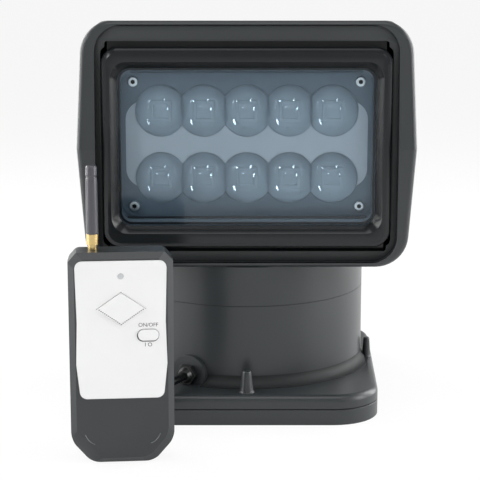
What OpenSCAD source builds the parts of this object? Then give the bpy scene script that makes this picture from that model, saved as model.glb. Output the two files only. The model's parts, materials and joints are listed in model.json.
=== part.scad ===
// Marine searchlight with a motorised head and its radio handset
// Millimetres, +Z up, the lamp faces -Y, origin on the pan axis at the underside of the base

/* [Base] */
// Width of the base at its front corners
base_front_w = 156; // [152:1:180]
// Width of the base at its rear corners
base_rear_w = 163; // [156:1:190]
// Reach of the base in front of the pan axis
base_front = 92; // [88:1:110]
// Reach of the base behind the pan axis
base_rear = 78; // [76:1:100]
// Corner radius of the base in plan
base_corner_r = 28; // [18:1:34]
// Thickness of the bottom plate
plate_h = 9.2; // [6:0.2:14]
// Thickness of the rubber seal above the plate
base_seal_h = 0.6; // [0.4:0.1:2]
// Thickness of the base cover
cover_h = 7.8; // [6.6:0.2:14]
// Radius of the rounded top edge of the cover
cover_edge_r = 4; // [2:0.5:5]
// Height of the moulded pegs on the cover
peg_h = 12.5; // [6:0.5:18]
// Distance of the front peg from the pan axis
peg_front = 83; // [80:0.5:86]
// Radius of the front peg at its foot
peg_foot_r = 4.6; // [3.6:0.1:5]
// Radius of the side pegs at their feet
side_peg_r = 3.2; // [2.6:0.1:3.4]
// Spacing of the mounting holes across X
mount_x = 100; // [80:1:110]
// Spacing of the mounting holes along Y
mount_y = 110; // [90:1:116]
// Bore of each mounting insert
mount_d = 5; // [4:0.5:6]
// Inset of the cover screws from the edges of the base
screw_inset = 17; // [14:0.5:19]

/* [Column] */
// Outer diameter of the column and the neck
column_d = 144.6; // [140:0.2:146]
// Wall of the column and the neck
column_wall = 3; // [2:0.2:4]
// Height of the fixed column
column_h = 48.2; // [46:0.2:70]
// Reach of the flared trim ring at the foot of the column
ring_flare = 6; // [3:0.5:6]
// Thickness of the deck that carries the spindle
deck_t = 3.2; // [2.4:0.2:6]
// Height of the cable gland above the cover
gland_rise = 6; // [6:0.5:12]
// Direction of the cable gland about the pan axis
gland_az = 242.5; // [236:0.5:248]
// Diameter of the power lead
cord_d = 5; // [4:0.5:6]

/* [Pan drive] */
// Height of the turning neck
neck_h = 23.3; // [18:0.1:40]
// Diameter of the hollow spindle
spindle_d = 43.9; // [36:0.1:50]
// Bore through the spindle for the wires
wire_d = 28; // [16:1:30]
// Tooth size of both gear pairs
gear_module = 1.5; // [1.4:0.05:1.55]
// Face width of the pan gear and pinion
pan_face = 8; // [5:0.5:9]
// Diameter of the pan motor
pan_motor_d = 28; // [20:1:30]
// Length of the pan motor
pan_motor_h = 26; // [18:1:27]

/* [Head] */
// Width of the head at its parting line
head_w = 194.6; // [176:0.2:212]
// How far each side leans in at the roof
roof_side_lean = 3.1; // [2.4:0.1:7]
// How far each side leans in at the floor
floor_side_lean = 5; // [2.4:0.1:7]
// Height of the head above the neck
head_h = 142; // [128:0.5:158]
// Gap between the lamp drum and the floor
floor_gap = 1.2; // [0.8:0.1:4]
// Gap between the lamp drum and the roof
roof_gap = 4.5; // [1.5:0.1:8]
// Reach of the head in front of the pan axis
head_front = 76; // [75:0.5:84]
// Reach of the head behind the pan axis
head_rear = 76; // [74:0.5:90]
// How far the roof's front edge leans back
roof_lean = 8; // [2:0.5:14]
// How far the floor's front edge leans back
floor_lean = 2.5; // [0:0.5:6]
// How far the roof drops towards the back
roof_drop = 8; // [0:0.5:14]
// Radius of the head's long edges
head_corner_r = 19; // [12:0.5:24]
// Wall of the head's sides and back
head_wall = 3; // [2:0.2:4]
// Thickness of the roof
roof_t = 2.5; // [2:0.1:4]
// Thickness of the floor
floor_t = 2.8; // [2:0.1:3.4]
// Width of the strips beside the front opening
side_strip_w = 10.6; // [8.4:0.1:11.2]
// Depth of the front lip
lip_depth = 8; // [5:0.5:12]

/* [Lamp] */
// Distance of the tilt axis behind the front of the head
tilt_back = 36; // [34:0.5:42]
// How far the drum's radius passes half the height of the bezel
drum_rise = 7.7; // [6.8:0.1:11]
// Gap between the bezel and each side strip
bezel_gap = 3.7; // [2.6:0.1:5.6]
// How far the drum case stands in behind the bezel
case_inset = 3; // [2:0.2:6]
// Depth of the bezel
bezel_t = 11; // [9.5:0.5:14]
// Distance of the bezel's front from the tilt axis
bezel_front = 33; // [30:0.5:34]
// Width of the bezel's rim beside the window
rim_w = 9; // [8.4:0.2:16]
// Height of the bezel's rim above and below the window
rim_h = 12.3; // [11.8:0.1:18]
// Thickness of the window glass
glass_t = 3; // [2:0.2:4]
// Depth of the tray behind the glass
tray_depth = 11; // [8:0.5:14]
// Lenses in each row
lens_count = 5; // [3:1:5]
// Margin between the outer lenses and the edge of the window
lens_margin = 11.5; // [9:0.5:20]
// Spacing of the two lens rows
row_pitch = 39; // [31:0.5:42]
// Radius of each lens
lens_r = 14.9; // [10:0.1:15]
// Diameter of the trunnions
trunnion_d = 10; // [8:0.5:12]
// Face width of the tilt gear and pinion
tilt_face = 4.5; // [3:0.1:4.5]
// Diameter of the tilt motor
tilt_motor_d = 24; // [16:1:24]

/* [Handset] */
// Width of the handset
hand_w = 55.5; // [50:0.5:60]
// Thickness of the handset
hand_t = 22; // [20:0.5:26]
// Height of the handset without its antenna
hand_h = 115.5; // [112:0.5:120]
// Chamfer around the front and the back of the handset
hand_edge = 3.2; // [2:0.2:4]
// Cut at each bottom corner of the handset
hand_foot_cut = 11; // [6:0.5:14]
// Wall of the handset
hand_wall = 2; // [1.6:0.1:2.6]
// Turn of the handset about the vertical
hand_yaw = 5; // [0:1:16]
// Place of the handset across X
hand_x = -67.6; // [-72:0.1:-62]
// Place of the handset along Y
hand_y = -146; // [-160:0.5:-144]
// Travel of the power button and the direction pad
key_travel = 0.8; // [0.4:0.1:1]
// Length of the antenna sleeve
antenna_h = 36.5; // [20:0.5:80]
// Diameter of the antenna sleeve
antenna_d = 6.6; // [5:0.1:8]

/* [Hidden] */
$fn = 64;
far = 200;
fit = 0.05;
slack = 0.2;
screw_r = 1.9;
screw_bore_r = 2;
screw_head_r = 3.6;
screw_head_h = 2.4;
small_screw_r = 1.45;
small_bore_r = 1.5;
small_hole_r = 1.7;
small_head_r = 2.9;
small_head_h = 1.8;
clamp_screw_r = 0.95;

// Levels of the base and column
seal_z = plate_h;
cover_z = seal_z + base_seal_h;
cover_top = cover_z + cover_h;
column_r = column_d / 2;
column_bore_r = column_r - column_wall;
column_top = cover_top + column_h;
gland_z = cover_top + gland_rise;
peg_side = column_r + side_peg_r + slack;
peg_side_y = -6;
peg_tip_r = 2.7;
side_peg_tip_r = 1.9;
peg_flare = 0.6;
ring_lip = 0.5;
board_w = 64;
board_d = 54;
board_y = -14;
board_rise = 6;
pcb_t = 1.6;
relay = [16, 20, 9];
driver = [14, 14, 4];
terminal = [18, 12, 7];
capacitor_r = 5;
capacitor_h = 13;
mount_mid_y = (base_rear - base_front) / 2;
insert_r = mount_d / 2 + 2;
insert_h = plate_h - 1.2;
head_room = 0.3;
plate_screw_z = 0.6;
column_screw_z = 0.4;
pillar_grip = 8;
pillar_bore = 11;

// Levels of the pan drive
washer_t = 0.2;
neck_z = column_top + washer_t + slack / 2;
neck_top = neck_z + neck_h;
neck_floor_t = 4;
collar_h = 2.8;
pan_gear_z = column_top - deck_t - slack - collar_h - pan_face;
gear_deck_t = 3;
gear_deck_z = pan_gear_z - 1 - gear_deck_t;
clip_t = 1.8;
clip_z = pan_gear_z - slack - clip_t;
clip_groove_r = spindle_d / 2 - 1.4;
spindle_z = clip_z - 3;
pinion_teeth = 14;
pan_teeth = 56;
tilt_teeth = 74;
mesh_gap = 0.1;
pan_centre = gear_module * (pan_teeth + pinion_teeth) / 2 + mesh_gap;
tilt_centre = gear_module * (tilt_teeth + pinion_teeth) / 2 + mesh_gap;
pinion_shaft_r = 2.5;
pinion_grip = 9;
motor_boss_r = 5.6;
pillar_r = 7;
pillar_reach = column_bore_r + 0.7 - pillar_r;

// Levels of the head
drum_r = (head_h - floor_t - roof_t - floor_gap - roof_gap) / 2;
tilt_rise = floor_t + floor_gap + drum_r;
tilt_z = neck_top + tilt_rise;
head_top_w = head_w - 2 * roof_side_lean;
head_floor_w = head_w - 2 * floor_side_lean;
opening_w = head_w - 2 * side_strip_w;
bezel_w = opening_w - 2 * bezel_gap;
case_w = bezel_w - 2 * case_inset;
window_w = bezel_w - 2 * rim_w;
bezel_h = 2 * (drum_r - drum_rise);
window_h = bezel_h - 2 * rim_h;
head_top = neck_top + head_h;
floor_top = neck_top + floor_t;
tilt_y = -head_front + tilt_back;
head_back_r = 50;
roof_back_r = 45;
foot_back_r = 5;
lip_corner_r = 15;
shell_post_r = 5;
shell_post_x = head_w / 2 - 25.3;
shell_post_y = head_rear - 30;
shell_screw_bore = 41;
shell_screw_grip = 12;
neck_post_r = 5;
neck_post_grip = 8;
neck_post_gap = 1;
neck_post_reach = column_bore_r - neck_post_r - neck_post_gap;
neck_post_turns = [-15, 60, 120, 195];
boss_r = 11;
bush_r = 8;
bush_wall_x = head_w / 2 - head_wall;
bush_x = opening_w / 2 - 0.2;
tilt_motor_y = tilt_y + tilt_centre;
tilt_motor_gap = 3;
tilt_motor_l = 37;
tilt_motor_x = [case_w / 2 - tilt_motor_gap - tilt_motor_l, case_w / 2 - tilt_motor_gap];
stand_w = tilt_motor_d + 10;
stand_x = tilt_motor_x[0] + 6;
stand_l = 24;
clamp_t = 2.4;
clamp_l = 10;
clamp_band = 1.5;
clamp_x = tilt_motor_x[0] + 13;
clamp_screw_reach = tilt_motor_d / 2 + 3.2;

// Depths of the lamp, measured forwards from the tilt axis
bezel_back = bezel_front - bezel_t;
seat_depth = 5;
bezel_slope = 4;
seat_u = bezel_front - seat_depth;
window_seal_t = 0.8;
glass_u = seat_u - window_seal_t;
tray_u = glass_u - glass_t;
plate_u = tray_u - tray_depth;
tray_t = 2;
board_u = plate_u - tray_t;
board_t = 1.6;
sink_u = board_u - board_t;
sink_t = 5;
fin_tip_u = -38;
fin_sweep_r = 47;
fin_half_h = 44;
fin_t = 2;
fin_pitch = 8;
fin_margin = 8;
sink_w = window_w - 2;
fin_count = 2 * floor((sink_w / 2 - fin_margin) / fin_pitch) + 1;
flange_t = 3;
case_wall = 2.5;
case_back_u = -12;
bezel_corner_r = 10;
window_corner_r = 7.5;
rebate_w = window_w + 7;
rebate_h = window_h + 7;
lens_pitch = (window_w - 2 * lens_margin) / lens_count;
lens_dome_h = 5.5;
lens_edge_h = 1.2;
tray_head_r = 3.2;
tray_head_h = 1.8;
tray_screw_r = 1.6;
tray_screw_x = window_w / 2 - lens_margin + tray_head_r + head_room;
tray_screw_z = window_h / 2 - 9;
case_post_r = 4;
case_post_x = window_w / 2 - 12;
case_post_z = rebate_h / 2 + 5.2;
sink_screw_grip = 6;
bezel_screw_grip = 5.5;
bezel_screw_inset = 28;
bezel_screw_x = window_w / 2 - bezel_screw_inset;
bezel_screw_z = rebate_h / 2 + 4.4;
trunnion_grip = 4;
sector_gap = 0.8;
sector_x = bush_x - sector_gap - tilt_face;
sector_rim = 6;
sector_web = 2;
sector_hub = 6;
led_w = 4.6;
led_bore_r = 4;

// Levels of the handset
hand_half = hand_t / 2;
panel_z = hand_h - 79;
panel_top_inset = 4;
panel_side_inset = 3.6;
panel_corner_r = 4;
panel_hip_z = hand_h - 60;
panel_waist_z = hand_h - 37;
panel_waist = 0.7;
panel_foot = 1.6;
panel_t = 1;
panel_proud = 0.3;
button_x = 14.2;
button_z = hand_h - 44.3;
button_w = 11;
button_h = 6;
pad_z = hand_h - 30;
pad_half_w = 13;
pad_half_h = 9;
key_height = 1;
key_gap = 0.25;
key_seat = hand_wall + 1.6 - hand_half;
key_flange_t = 1;
indicator_z = hand_h - 12.3;
indicator_r = 1.5;
hand_board_y = key_seat + key_flange_t + 1 + key_travel;
hand_board_inset = 12.2;
hand_board_z = 24;
hand_board_top = 12;
hand_screw_z = [18, hand_h - 12];
hand_screw_inset = 7.5;
hand_post_r = 3.4;
hand_corner = 5;
battery_w = 26;
battery_h = 44;
antenna_stud_r = 2;
antenna_stud_h = 7;
collar_h_top = 8.6;
antenna_x = -14.5;
collar_r = 3.3;
door_z = [14, 66];
battery_z = door_z[0] + 3.2;
door_w = 34;
door_t = 1.2;

// Route of the power lead on the floor, chosen by hand
cord_route = [
    [-46, -86, 23.2], [-52.5, -91, 22.2], [-60.5, -94, 20.4], [-69, -94.5, 17.8], [-77, -92.5, 14.9],
    [-84, -88, 11.8], [-89.5, -82, 8.9], [-93, -74.5, 6.4], [-94, -66.5, 4.5], [-94, -58, 3.3],
    [-94, -48, 2.7], [-94, -36, 2.6], [-94, -20, 2.6], [-94, -3, 2.6], [-94, 14, 2.6], [-94, 30, 2.6],
    [-94, 46, 2.6], [-92, 61.5, 2.6], [-86, 76, 2.6], [-76.5, 88.5, 2.6], [-64, 98, 2.6],
    [-49.5, 104, 2.6], [-34, 106, 2.6], [-17, 106, 2.6], [0, 106, 2.6]];
tail_route = [
    [34, 140, 7.7], [34, 151, 7.5], [34, 162, 6.8], [33, 173, 6.3], [29, 183.5, 6.5], [22, 192, 7.5],
    [12.5, 197.8, 9], [1.5, 200, 10.2]];
lead_straight = 8;
coil_y = 140;
coil_mean_r = 29;
coil_half = 7.6;
coil_h = 10.2;
plug_x = [-72, -10];
plug_y = 200;
plug_r = 10.6;
gland_dir = [cos(gland_az), sin(gland_az), 0];
gland_pad = 2.2;
gland_pad_r = 11;
gland_bore_r = cord_d / 2 + 2;
gland_nut_h = 4;
gland_hex_r = gland_bore_r + 1.8;
gland_nose_h = 3;
gland_tip = column_r + gland_pad + gland_nut_h + gland_nose_h;

// Shared shapes

function arc(c, r, a0, a1, n = 10) =
    [for (i = [0:n]) c + r * [cos(a0 + (a1 - a0) * i / n), sin(a0 + (a1 - a0) * i / n)]];

// Rounded rectangle as true arcs
module round_rect(w, h, r) {
    square([w - 2 * r, h], center = true);
    square([w, h - 2 * r], center = true);
    for (x = [-1, 1], y = [-1, 1])
        translate([x * (w / 2 - r), y * (h / 2 - r)]) circle(r);
}

// Block with its axes along X, Y and Z, rounded in the front view
module front_block(w, h, r, y0, y1) {
    translate([0, y1, 0]) rotate([90, 0, 0]) linear_extrude(y1 - y0) round_rect(w, h, r);
}

// Cylinder along X
module rod_x(r, x0, x1) {
    translate([x0, 0, 0]) rotate([0, 90, 0]) cylinder(r = r, h = x1 - x0);
}

// Cylinder along Y
module rod_y(r, y0, y1) {
    translate([0, y1, 0]) rotate([90, 0, 0]) cylinder(r = r, h = y1 - y0);
}

// Copies at the four corners of a rectangle about the Z axis
module corners(x, y) {
    for (i = [-1, 1], j = [-1, 1]) translate([i * x, j * y, 0]) children();
}

// Copies at four equal turns about the pan axis
module quarters(reach, start) {
    for (i = [0:3]) rotate(start + 90 * i) translate([reach, 0, 0]) children();
}

// Copies at the posts that carry the head on the neck
module at_neck_posts() {
    for (turn = neck_post_turns) rotate(turn) translate([neck_post_reach, 0, 0]) children();
}

// Pan-head screw pointing up, its head's top face at zero
module screw_up(length) {
    cylinder(r = screw_head_r, h = screw_head_h);
    cylinder(r = screw_r, h = screw_head_h + length);
}

// Half angle of an involute tooth at a radius
function tooth_half(teeth, r, base_r, backlash) =
    let (pitch_r = gear_module * teeth / 2, t = sqrt(pow(r / base_r, 2) - 1) * 180 / PI)
    90 / teeth - backlash / pitch_r * 180 / PI + tan(20) * 180 / PI - 20 - (t - atan(t * PI / 180));

// Outline of one tooth, from its right root to its left root
function tooth(teeth, mid, backlash) =
    let (pitch_r = gear_module * teeth / 2, base_r = pitch_r * cos(20),
        tip_r = pitch_r + 0.8 * gear_module, root_r = pitch_r - 1.1 * gear_module,
        low_r = max(base_r + 0.001, root_r), steps = 4,
        radii = [for (i = [0:steps]) low_r + (tip_r - low_r) * i / steps],
        root_half = tooth_half(teeth, low_r, base_r, backlash))
    concat([root_r * [cos(mid - root_half), sin(mid - root_half)]],
        [for (r = radii) let (a = mid - tooth_half(teeth, r, base_r, backlash)) r * [cos(a), sin(a)]],
        [for (i = [steps:-1:0]) let (a = mid + tooth_half(teeth, radii[i], base_r, backlash))
            radii[i] * [cos(a), sin(a)]],
        [root_r * [cos(mid + root_half), sin(mid + root_half)]]);

// Teeth of a gear, those from first to last
function gear_outline(teeth, first, last, backlash = 0.12) =
    [for (i = [first:last], p = tooth(teeth, i * 360 / teeth, backlash)) p];

// Sweep of a round cord along points, as one closed solid
function unit(v) = v / norm(v);
function lead_dir(p, i) = unit(p[min(i + 1, len(p) - 1)] - p[max(i - 1, 0)]);
function lead_side(d) = unit(cross(d, abs(d[2]) > 0.9 ? [1, 0, 0] : [0, 0, 1]));
function spline(p, i, t) =
    let (a = p[max(i - 1, 0)], b = p[i], c = p[i + 1], d = p[min(i + 2, len(p) - 1)])
    0.5 * (2 * b + (c - a) * t + (2 * a - 5 * b + 4 * c - d) * pow(t, 2)
        + (3 * b - a - 3 * c + d) * pow(t, 3));
function smooth_path(p, n = 2) =
    concat([for (i = [0:len(p) - 2], k = [0:n - 1]) spline(p, i, k / n)], [p[len(p) - 1]]);

module cord_tube(points, sides = 10) {
    path = smooth_path(points);
    rings = len(path);
    ring_points = [for (i = [0:rings - 1]) let (d = lead_dir(path, i), u = lead_side(d), v = cross(u, d))
        for (k = [0:sides - 1])
            path[i] + cord_d / 2 * (u * cos(360 * k / sides) + v * sin(360 * k / sides))];
    walls = [for (i = [0:rings - 2], k = [0:sides - 1]) let (m = (k + 1) % sides)
        [i * sides + k, i * sides + m, (i + 1) * sides + m, (i + 1) * sides + k]];
    ends = [[for (k = [sides - 1:-1:0]) k], [for (k = [0:sides - 1]) (rings - 1) * sides + k]];
    polyhedron(ring_points, concat(walls, ends));
}

// Base

function base_points(inset) =
    let (r = base_corner_r - inset, fx = base_front_w / 2 - base_corner_r,
        rx = base_rear_w / 2 - base_corner_r, fy = base_corner_r - base_front,
        ry = base_rear - base_corner_r)
    concat(arc([rx, ry], r, 0, 90), arc([-rx, ry], r, 90, 180),
        arc([-fx, fy], r, 180, 270), arc([fx, fy], r, 270, 360));

module base_slab(h, inset = 0) {
    linear_extrude(h) polygon(base_points(inset));
}

module at_cover_screws() {
    for (x = [-1, 1]) {
        translate([x * (base_front_w / 2 - screw_inset), screw_inset - base_front, 0]) children();
        translate([x * (base_rear_w / 2 - screw_inset), base_rear - screw_inset, 0]) children();
    }
}

module at_inserts() {
    translate([0, mount_mid_y, 0]) corners(mount_x / 2, mount_y / 2) children();
}

module base_plate() {
    color("#303436") difference() {
        base_slab(plate_h);
        at_inserts() translate([0, 0, -1]) cylinder(r = insert_r, h = insert_h + 1 + slack);
        at_cover_screws() {
            translate([0, 0, -1]) cylinder(r = screw_bore_r + slack, h = plate_h + 2);
            translate([0, 0, -1])
                cylinder(r = screw_head_r + head_room, h = 1 + plate_screw_z + screw_head_h);
        }
    }
}

module mount_inserts() {
    color("#b8964a") at_inserts() difference() {
        cylinder(r = insert_r, h = insert_h);
        translate([0, 0, -1]) cylinder(r = mount_d / 2, h = insert_h + 2);
    }
}

module base_seal() {
    color("#18191a") translate([0, 0, seal_z]) difference() {
        base_slab(base_seal_h, 0.8);
        translate([0, 0, -1]) base_slab(base_seal_h + 2, 6);
    }
}

// Tapered peg with a flared foot, sunk into the cover
module peg(foot_r, tip_r) {
    rotate_extrude() polygon([[0, -cover_edge_r], [foot_r, -cover_edge_r], [foot_r, 0],
        [foot_r - 0.7 * peg_flare, peg_flare], [foot_r - peg_flare, 2.5 * peg_flare],
        [tip_r, peg_h - 0.8], [tip_r - 0.5, peg_h], [0, peg_h]]);
}

module cover_block() {
    flat = cover_h - cover_edge_r;
    hull() {
        base_slab(flat);
        for (a = [15:15:90])
            translate([0, 0, flat + cover_edge_r * sin(a) - 0.01])
                base_slab(0.01, cover_edge_r * (1 - cos(a)));
    }
}

module base_cover() {
    color("#34383a") difference() {
        translate([0, 0, cover_z]) {
            cover_block();
            translate([0, -peg_front, cover_h]) peg(peg_foot_r, peg_tip_r);
            for (x = [-1, 1])
                translate([x * peg_side, peg_side_y, cover_h]) peg(side_peg_r, side_peg_tip_r);
            translate([0, board_y, cover_h - 1]) corners(board_w / 2 - 6, board_d / 2 - 7)
                cylinder(r = 3, h = board_rise + 1);
        }
        at_cover_screws() cylinder(r = screw_bore_r, h = cover_top - 1.5);
        quarters(pillar_reach, 45) {
            translate([0, 0, cover_z - 1]) cylinder(r = screw_bore_r + slack, h = cover_h + 2);
            translate([0, 0, cover_z - 1])
                cylinder(r = screw_head_r + head_room, h = 1 + column_screw_z + screw_head_h);
        }
    }
}

module cover_screws() {
    color("#9a9da0") at_cover_screws()
        translate([0, 0, plate_screw_z]) screw_up(cover_top - 5 - screw_head_h);
}

// Column

module at_gland() {
    rotate(gland_az) translate([0, 0, gland_z]) children();
}

module column() {
    color("#3a3e40") difference() {
        union() {
            rotate_extrude() polygon([[column_r, cover_top], [column_r, column_top],
                [spindle_d / 2 + fit, column_top], [spindle_d / 2 + fit, column_top - deck_t],
                [column_bore_r, column_top - deck_t], [column_bore_r, cover_top]]);
            quarters(pillar_reach, 45)
                translate([0, 0, cover_top]) cylinder(r = pillar_r, h = gear_deck_z - cover_top);
            difference() {
                at_gland() rod_x(gland_pad_r, column_bore_r + 0.5, column_r + gland_pad);
                translate([0, 0, cover_top - far]) cylinder(r = column_r + far, h = far);
            }
        }
        at_gland() rod_x(gland_bore_r + fit, column_bore_r - 3, column_r + gland_pad + 1);
        quarters(pillar_reach, 45) {
            translate([0, 0, cover_top - 1]) cylinder(r = screw_bore_r, h = pillar_bore + 1);
            translate([0, 0, gear_deck_z - pillar_bore]) cylinder(r = screw_bore_r, h = pillar_bore + 1);
        }
    }
}

// Flared trim at the foot of the column, cut back at the pegs, the gland and the cover's edges
module foot_ring() {
    side_x = base_front_w / 2 - cover_edge_r;
    ring_h = ring_flare + ring_lip;
    color("#34383a") difference() {
        translate([0, 0, cover_top]) rotate_extrude() polygon(concat(
            [[column_r + fit, 0], [column_r + ring_flare, 0]],
            arc([column_r + ring_flare, ring_h], ring_flare, 270, 190, 8), [[column_r + fit, ring_h]]));
        for (x = [-1, 1]) {
            translate([x * peg_side, peg_side_y, cover_top - 1])
                cylinder(r = side_peg_r + 2 * slack, h = ring_h + 2);
            translate([x > 0 ? side_x : -side_x - far, -far, cover_top - 1])
                cube([far, 2 * far, ring_h + 2]);
        }
        at_gland() rod_x(gland_pad_r + slack, column_r - 1, column_r + far);
    }
}

module column_screws() {
    color("#9a9da0") quarters(pillar_reach, 45)
        translate([0, 0, cover_z + column_screw_z]) screw_up(cover_h - screw_head_h + pillar_grip);
}

module cable_gland() {
    color("#141516") at_gland() {
        rod_x(gland_bore_r, column_bore_r - 6, column_r + gland_pad + 2);
        translate([column_r + gland_pad, 0, 0]) rotate([0, 90, 0]) rotate(30)
            cylinder(r = gland_hex_r, h = gland_nut_h, $fn = 6);
        translate([gland_tip, 0, 0]) rotate([0, -90, 0]) rotate_extrude()
            polygon([[0, 0], [cord_d / 2 + 0.9, 0], [cord_d / 2 + 2.2, gland_nose_h],
                [cord_d / 2 + 2.2, gland_nose_h + 2], [0, gland_nose_h + 2]]);
    }
}

module gland_nut() {
    color("#141516") at_gland() difference() {
        translate([column_bore_r - 5.5, 0, 0]) rotate([0, 90, 0]) rotate(30)
            cylinder(r = gland_hex_r + 0.3, h = 4.4, $fn = 6);
        rod_x(gland_bore_r + fit, column_bore_r - 7, column_bore_r + 1);
    }
}

module power_lead() {
    start = (gland_tip + fit) * gland_dir + [0, 0, gland_z];
    color("#0e0f10") cord_tube(concat([start, start + lead_straight * gland_dir], cord_route));
}

module lead_coil() {
    color("#0e0f10") translate([0, coil_y, 0]) rotate_extrude() translate([coil_mean_r, coil_h / 2])
        round_rect(2 * coil_half, coil_h, 3.5);
}

module lead_tail() {
    color("#0e0f10") cord_tube(concat(tail_route, [[plug_x[1] + fit, plug_y, plug_r]]));
}

module power_plug() {
    color("#161718") translate([plug_x[0], plug_y, plug_r]) rotate([0, 90, 0])
        rotate_extrude() polygon([[0, -9], [3.4, -9], [4.4, -8], [4.4, 0], [9, 0], [9, 22], [10.6, 24],
            [10.6, 44], [8.2, 50], [4.6, 52], [4, plug_x[1] - plug_x[0]], [0, plug_x[1] - plug_x[0]]]);
}

// Pan drive

module gear_deck() {
    color("#4a4e50") difference() {
        translate([0, 0, gear_deck_z]) cylinder(r = column_bore_r - 0.3, h = gear_deck_t);
        translate([0, 0, gear_deck_z - 1]) cylinder(r = spindle_d / 2 + 9, h = gear_deck_t + 2);
        translate([0, pan_centre, gear_deck_z - 1]) cylinder(r = motor_boss_r + 0.4, h = gear_deck_t + 2);
        quarters(pillar_reach, 45)
            translate([0, 0, gear_deck_z - 1]) cylinder(r = screw_bore_r + slack, h = gear_deck_t + 2);
    }
}

module deck_screws() {
    color("#9a9da0") quarters(pillar_reach, 45)
        translate([0, 0, gear_deck_z + gear_deck_t + screw_head_h])
            mirror([0, 0, 1]) screw_up(gear_deck_t + pillar_grip);
}

module control_board() {
    color("#1f5a3a") translate([-board_w / 2, board_y - board_d / 2, cover_top + board_rise]) {
        cube([board_w, board_d, pcb_t]);
        translate([board_w * 0.1, board_d * 0.15, pcb_t - fit]) cube(relay);
        translate([board_w * 0.47, board_d * 0.19, pcb_t - fit]) cube(driver);
        translate([board_w * 0.81, board_d * 0.74, pcb_t - fit]) cylinder(r = capacitor_r, h = capacitor_h);
        translate([board_w * 0.41, board_d * 0.67, pcb_t - fit]) cube(terminal);
    }
}

module pan_motor() {
    color("#8d9094") translate([0, pan_centre, 0]) difference() {
        union() {
            translate([0, 0, gear_deck_z - pan_motor_h]) cylinder(r = pan_motor_d / 2, h = pan_motor_h);
            translate([0, 0, gear_deck_z - 1]) cylinder(r = motor_boss_r, h = gear_deck_t + 1);
        }
        translate([0, 0, gear_deck_z - pinion_grip - 1])
            cylinder(r = pinion_shaft_r + fit, h = pinion_grip + gear_deck_t + 2);
    }
}

module thrust_washer() {
    color("#e8e6df") translate([0, 0, column_top]) difference() {
        cylinder(r = column_r - 10, h = washer_t);
        translate([0, 0, -1]) cylinder(r = spindle_d / 2 + 2, h = washer_t + 2);
    }
}

module pan_pinion() {
    color("#e4e0d2") translate([0, pan_centre, 0]) {
        translate([0, 0, pan_gear_z]) rotate(270 + 180 / pinion_teeth)
            linear_extrude(pan_face) polygon(gear_outline(pinion_teeth, 0, pinion_teeth - 1));
        translate([0, 0, gear_deck_z - pinion_grip])
            cylinder(r = pinion_shaft_r, h = pan_gear_z + pan_face - gear_deck_z + pinion_grip);
    }
}

module neck() {
    spindle_r = spindle_d / 2;
    color("#3a3e40") difference() {
        union() {
            rotate_extrude() polygon([[wire_d / 2, spindle_z], [spindle_r, spindle_z],
                [spindle_r, clip_z - slack], [clip_groove_r, clip_z - slack],
                [clip_groove_r, clip_z + clip_t + slack / 2], [spindle_r, clip_z + clip_t + slack / 2],
                [spindle_r, neck_z], [column_r, neck_z], [column_r, neck_top],
                [column_bore_r, neck_top], [column_bore_r, neck_z + neck_floor_t],
                [wire_d / 2, neck_z + neck_floor_t]]);
            at_neck_posts()
                translate([0, 0, neck_z + 1]) cylinder(r = neck_post_r, h = neck_h - 1);
        }
        at_neck_posts()
            translate([0, 0, neck_top - neck_post_grip - 4])
                cylinder(r = screw_bore_r, h = neck_post_grip + 5);
    }
}

module pan_gear() {
    color("#e4e0d2") translate([0, 0, pan_gear_z]) difference() {
        union() {
            linear_extrude(pan_face) polygon(gear_outline(pan_teeth, 0, pan_teeth - 1));
            cylinder(r = spindle_d / 2 + 6, h = pan_face + collar_h);
        }
        translate([0, 0, -1]) cylinder(r = spindle_d / 2 + fit, h = pan_face + collar_h + 2);
    }
}

module spindle_clip() {
    color("#b4b7ba") translate([0, 0, clip_z]) difference() {
        cylinder(r = spindle_d / 2 + 4, h = clip_t);
        translate([0, 0, -1]) cylinder(r = clip_groove_r + fit, h = clip_t + 2);
        translate([-2, 0, -1]) cube([4, far, clip_t + 2]);
    }
}

// Head shells

// Half width of the head at a height, following the slant of its sides
function side_half(z) = z > tilt_z
    ? head_w / 2 - (z - tilt_z) / (head_top - tilt_z) * (head_w - head_top_w) / 2
    : head_w / 2 - (tilt_z - z) / (tilt_z - neck_top) * (head_w - head_floor_w) / 2;

function front_points(wall, roof, floor) =
    let (r = head_corner_r - wall, top_z = head_top - roof - r, low_z = neck_top + floor + r,
        top_x = side_half(top_z) - wall - r, low_x = side_half(low_z) - wall - r)
    concat([[head_w / 2 - wall, tilt_z]], arc([top_x, top_z], r, 2, 90),
        arc([-top_x, top_z], r, 90, 178), [[wall - head_w / 2, tilt_z]],
        arc([-low_x, low_z], r, 184, 270), arc([low_x, low_z], r, 270, 356));

function plan_points(wall, front) =
    let (x = head_w / 2 - head_back_r, y = head_rear - head_back_r, r = head_back_r - wall)
    concat([[x + r, -front], [x + r, y]], arc([x, y], r, 9, 90, 12), arc([-x, y], r, 90, 171, 12),
        [[-x - r, y], [-x - r, -front]]);

function profile_points(wall, roof, floor, front, top_lean, low_lean) =
    let (roof_r = roof_back_r - wall, foot_r = max(foot_back_r - floor, 0.5),
        roof_y = head_rear - roof_back_r, foot_y = head_rear - wall - foot_r)
    concat([[-front, tilt_z], [low_lean - front, neck_top + floor]],
        arc([foot_y, neck_top + floor + foot_r], foot_r, 270, 360, 5),
        arc([roof_y, head_top - roof_drop - roof_back_r], roof_r + wall - max(wall, roof), 0, 86, 12),
        [[top_lean - front, head_top - roof]]);

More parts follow.
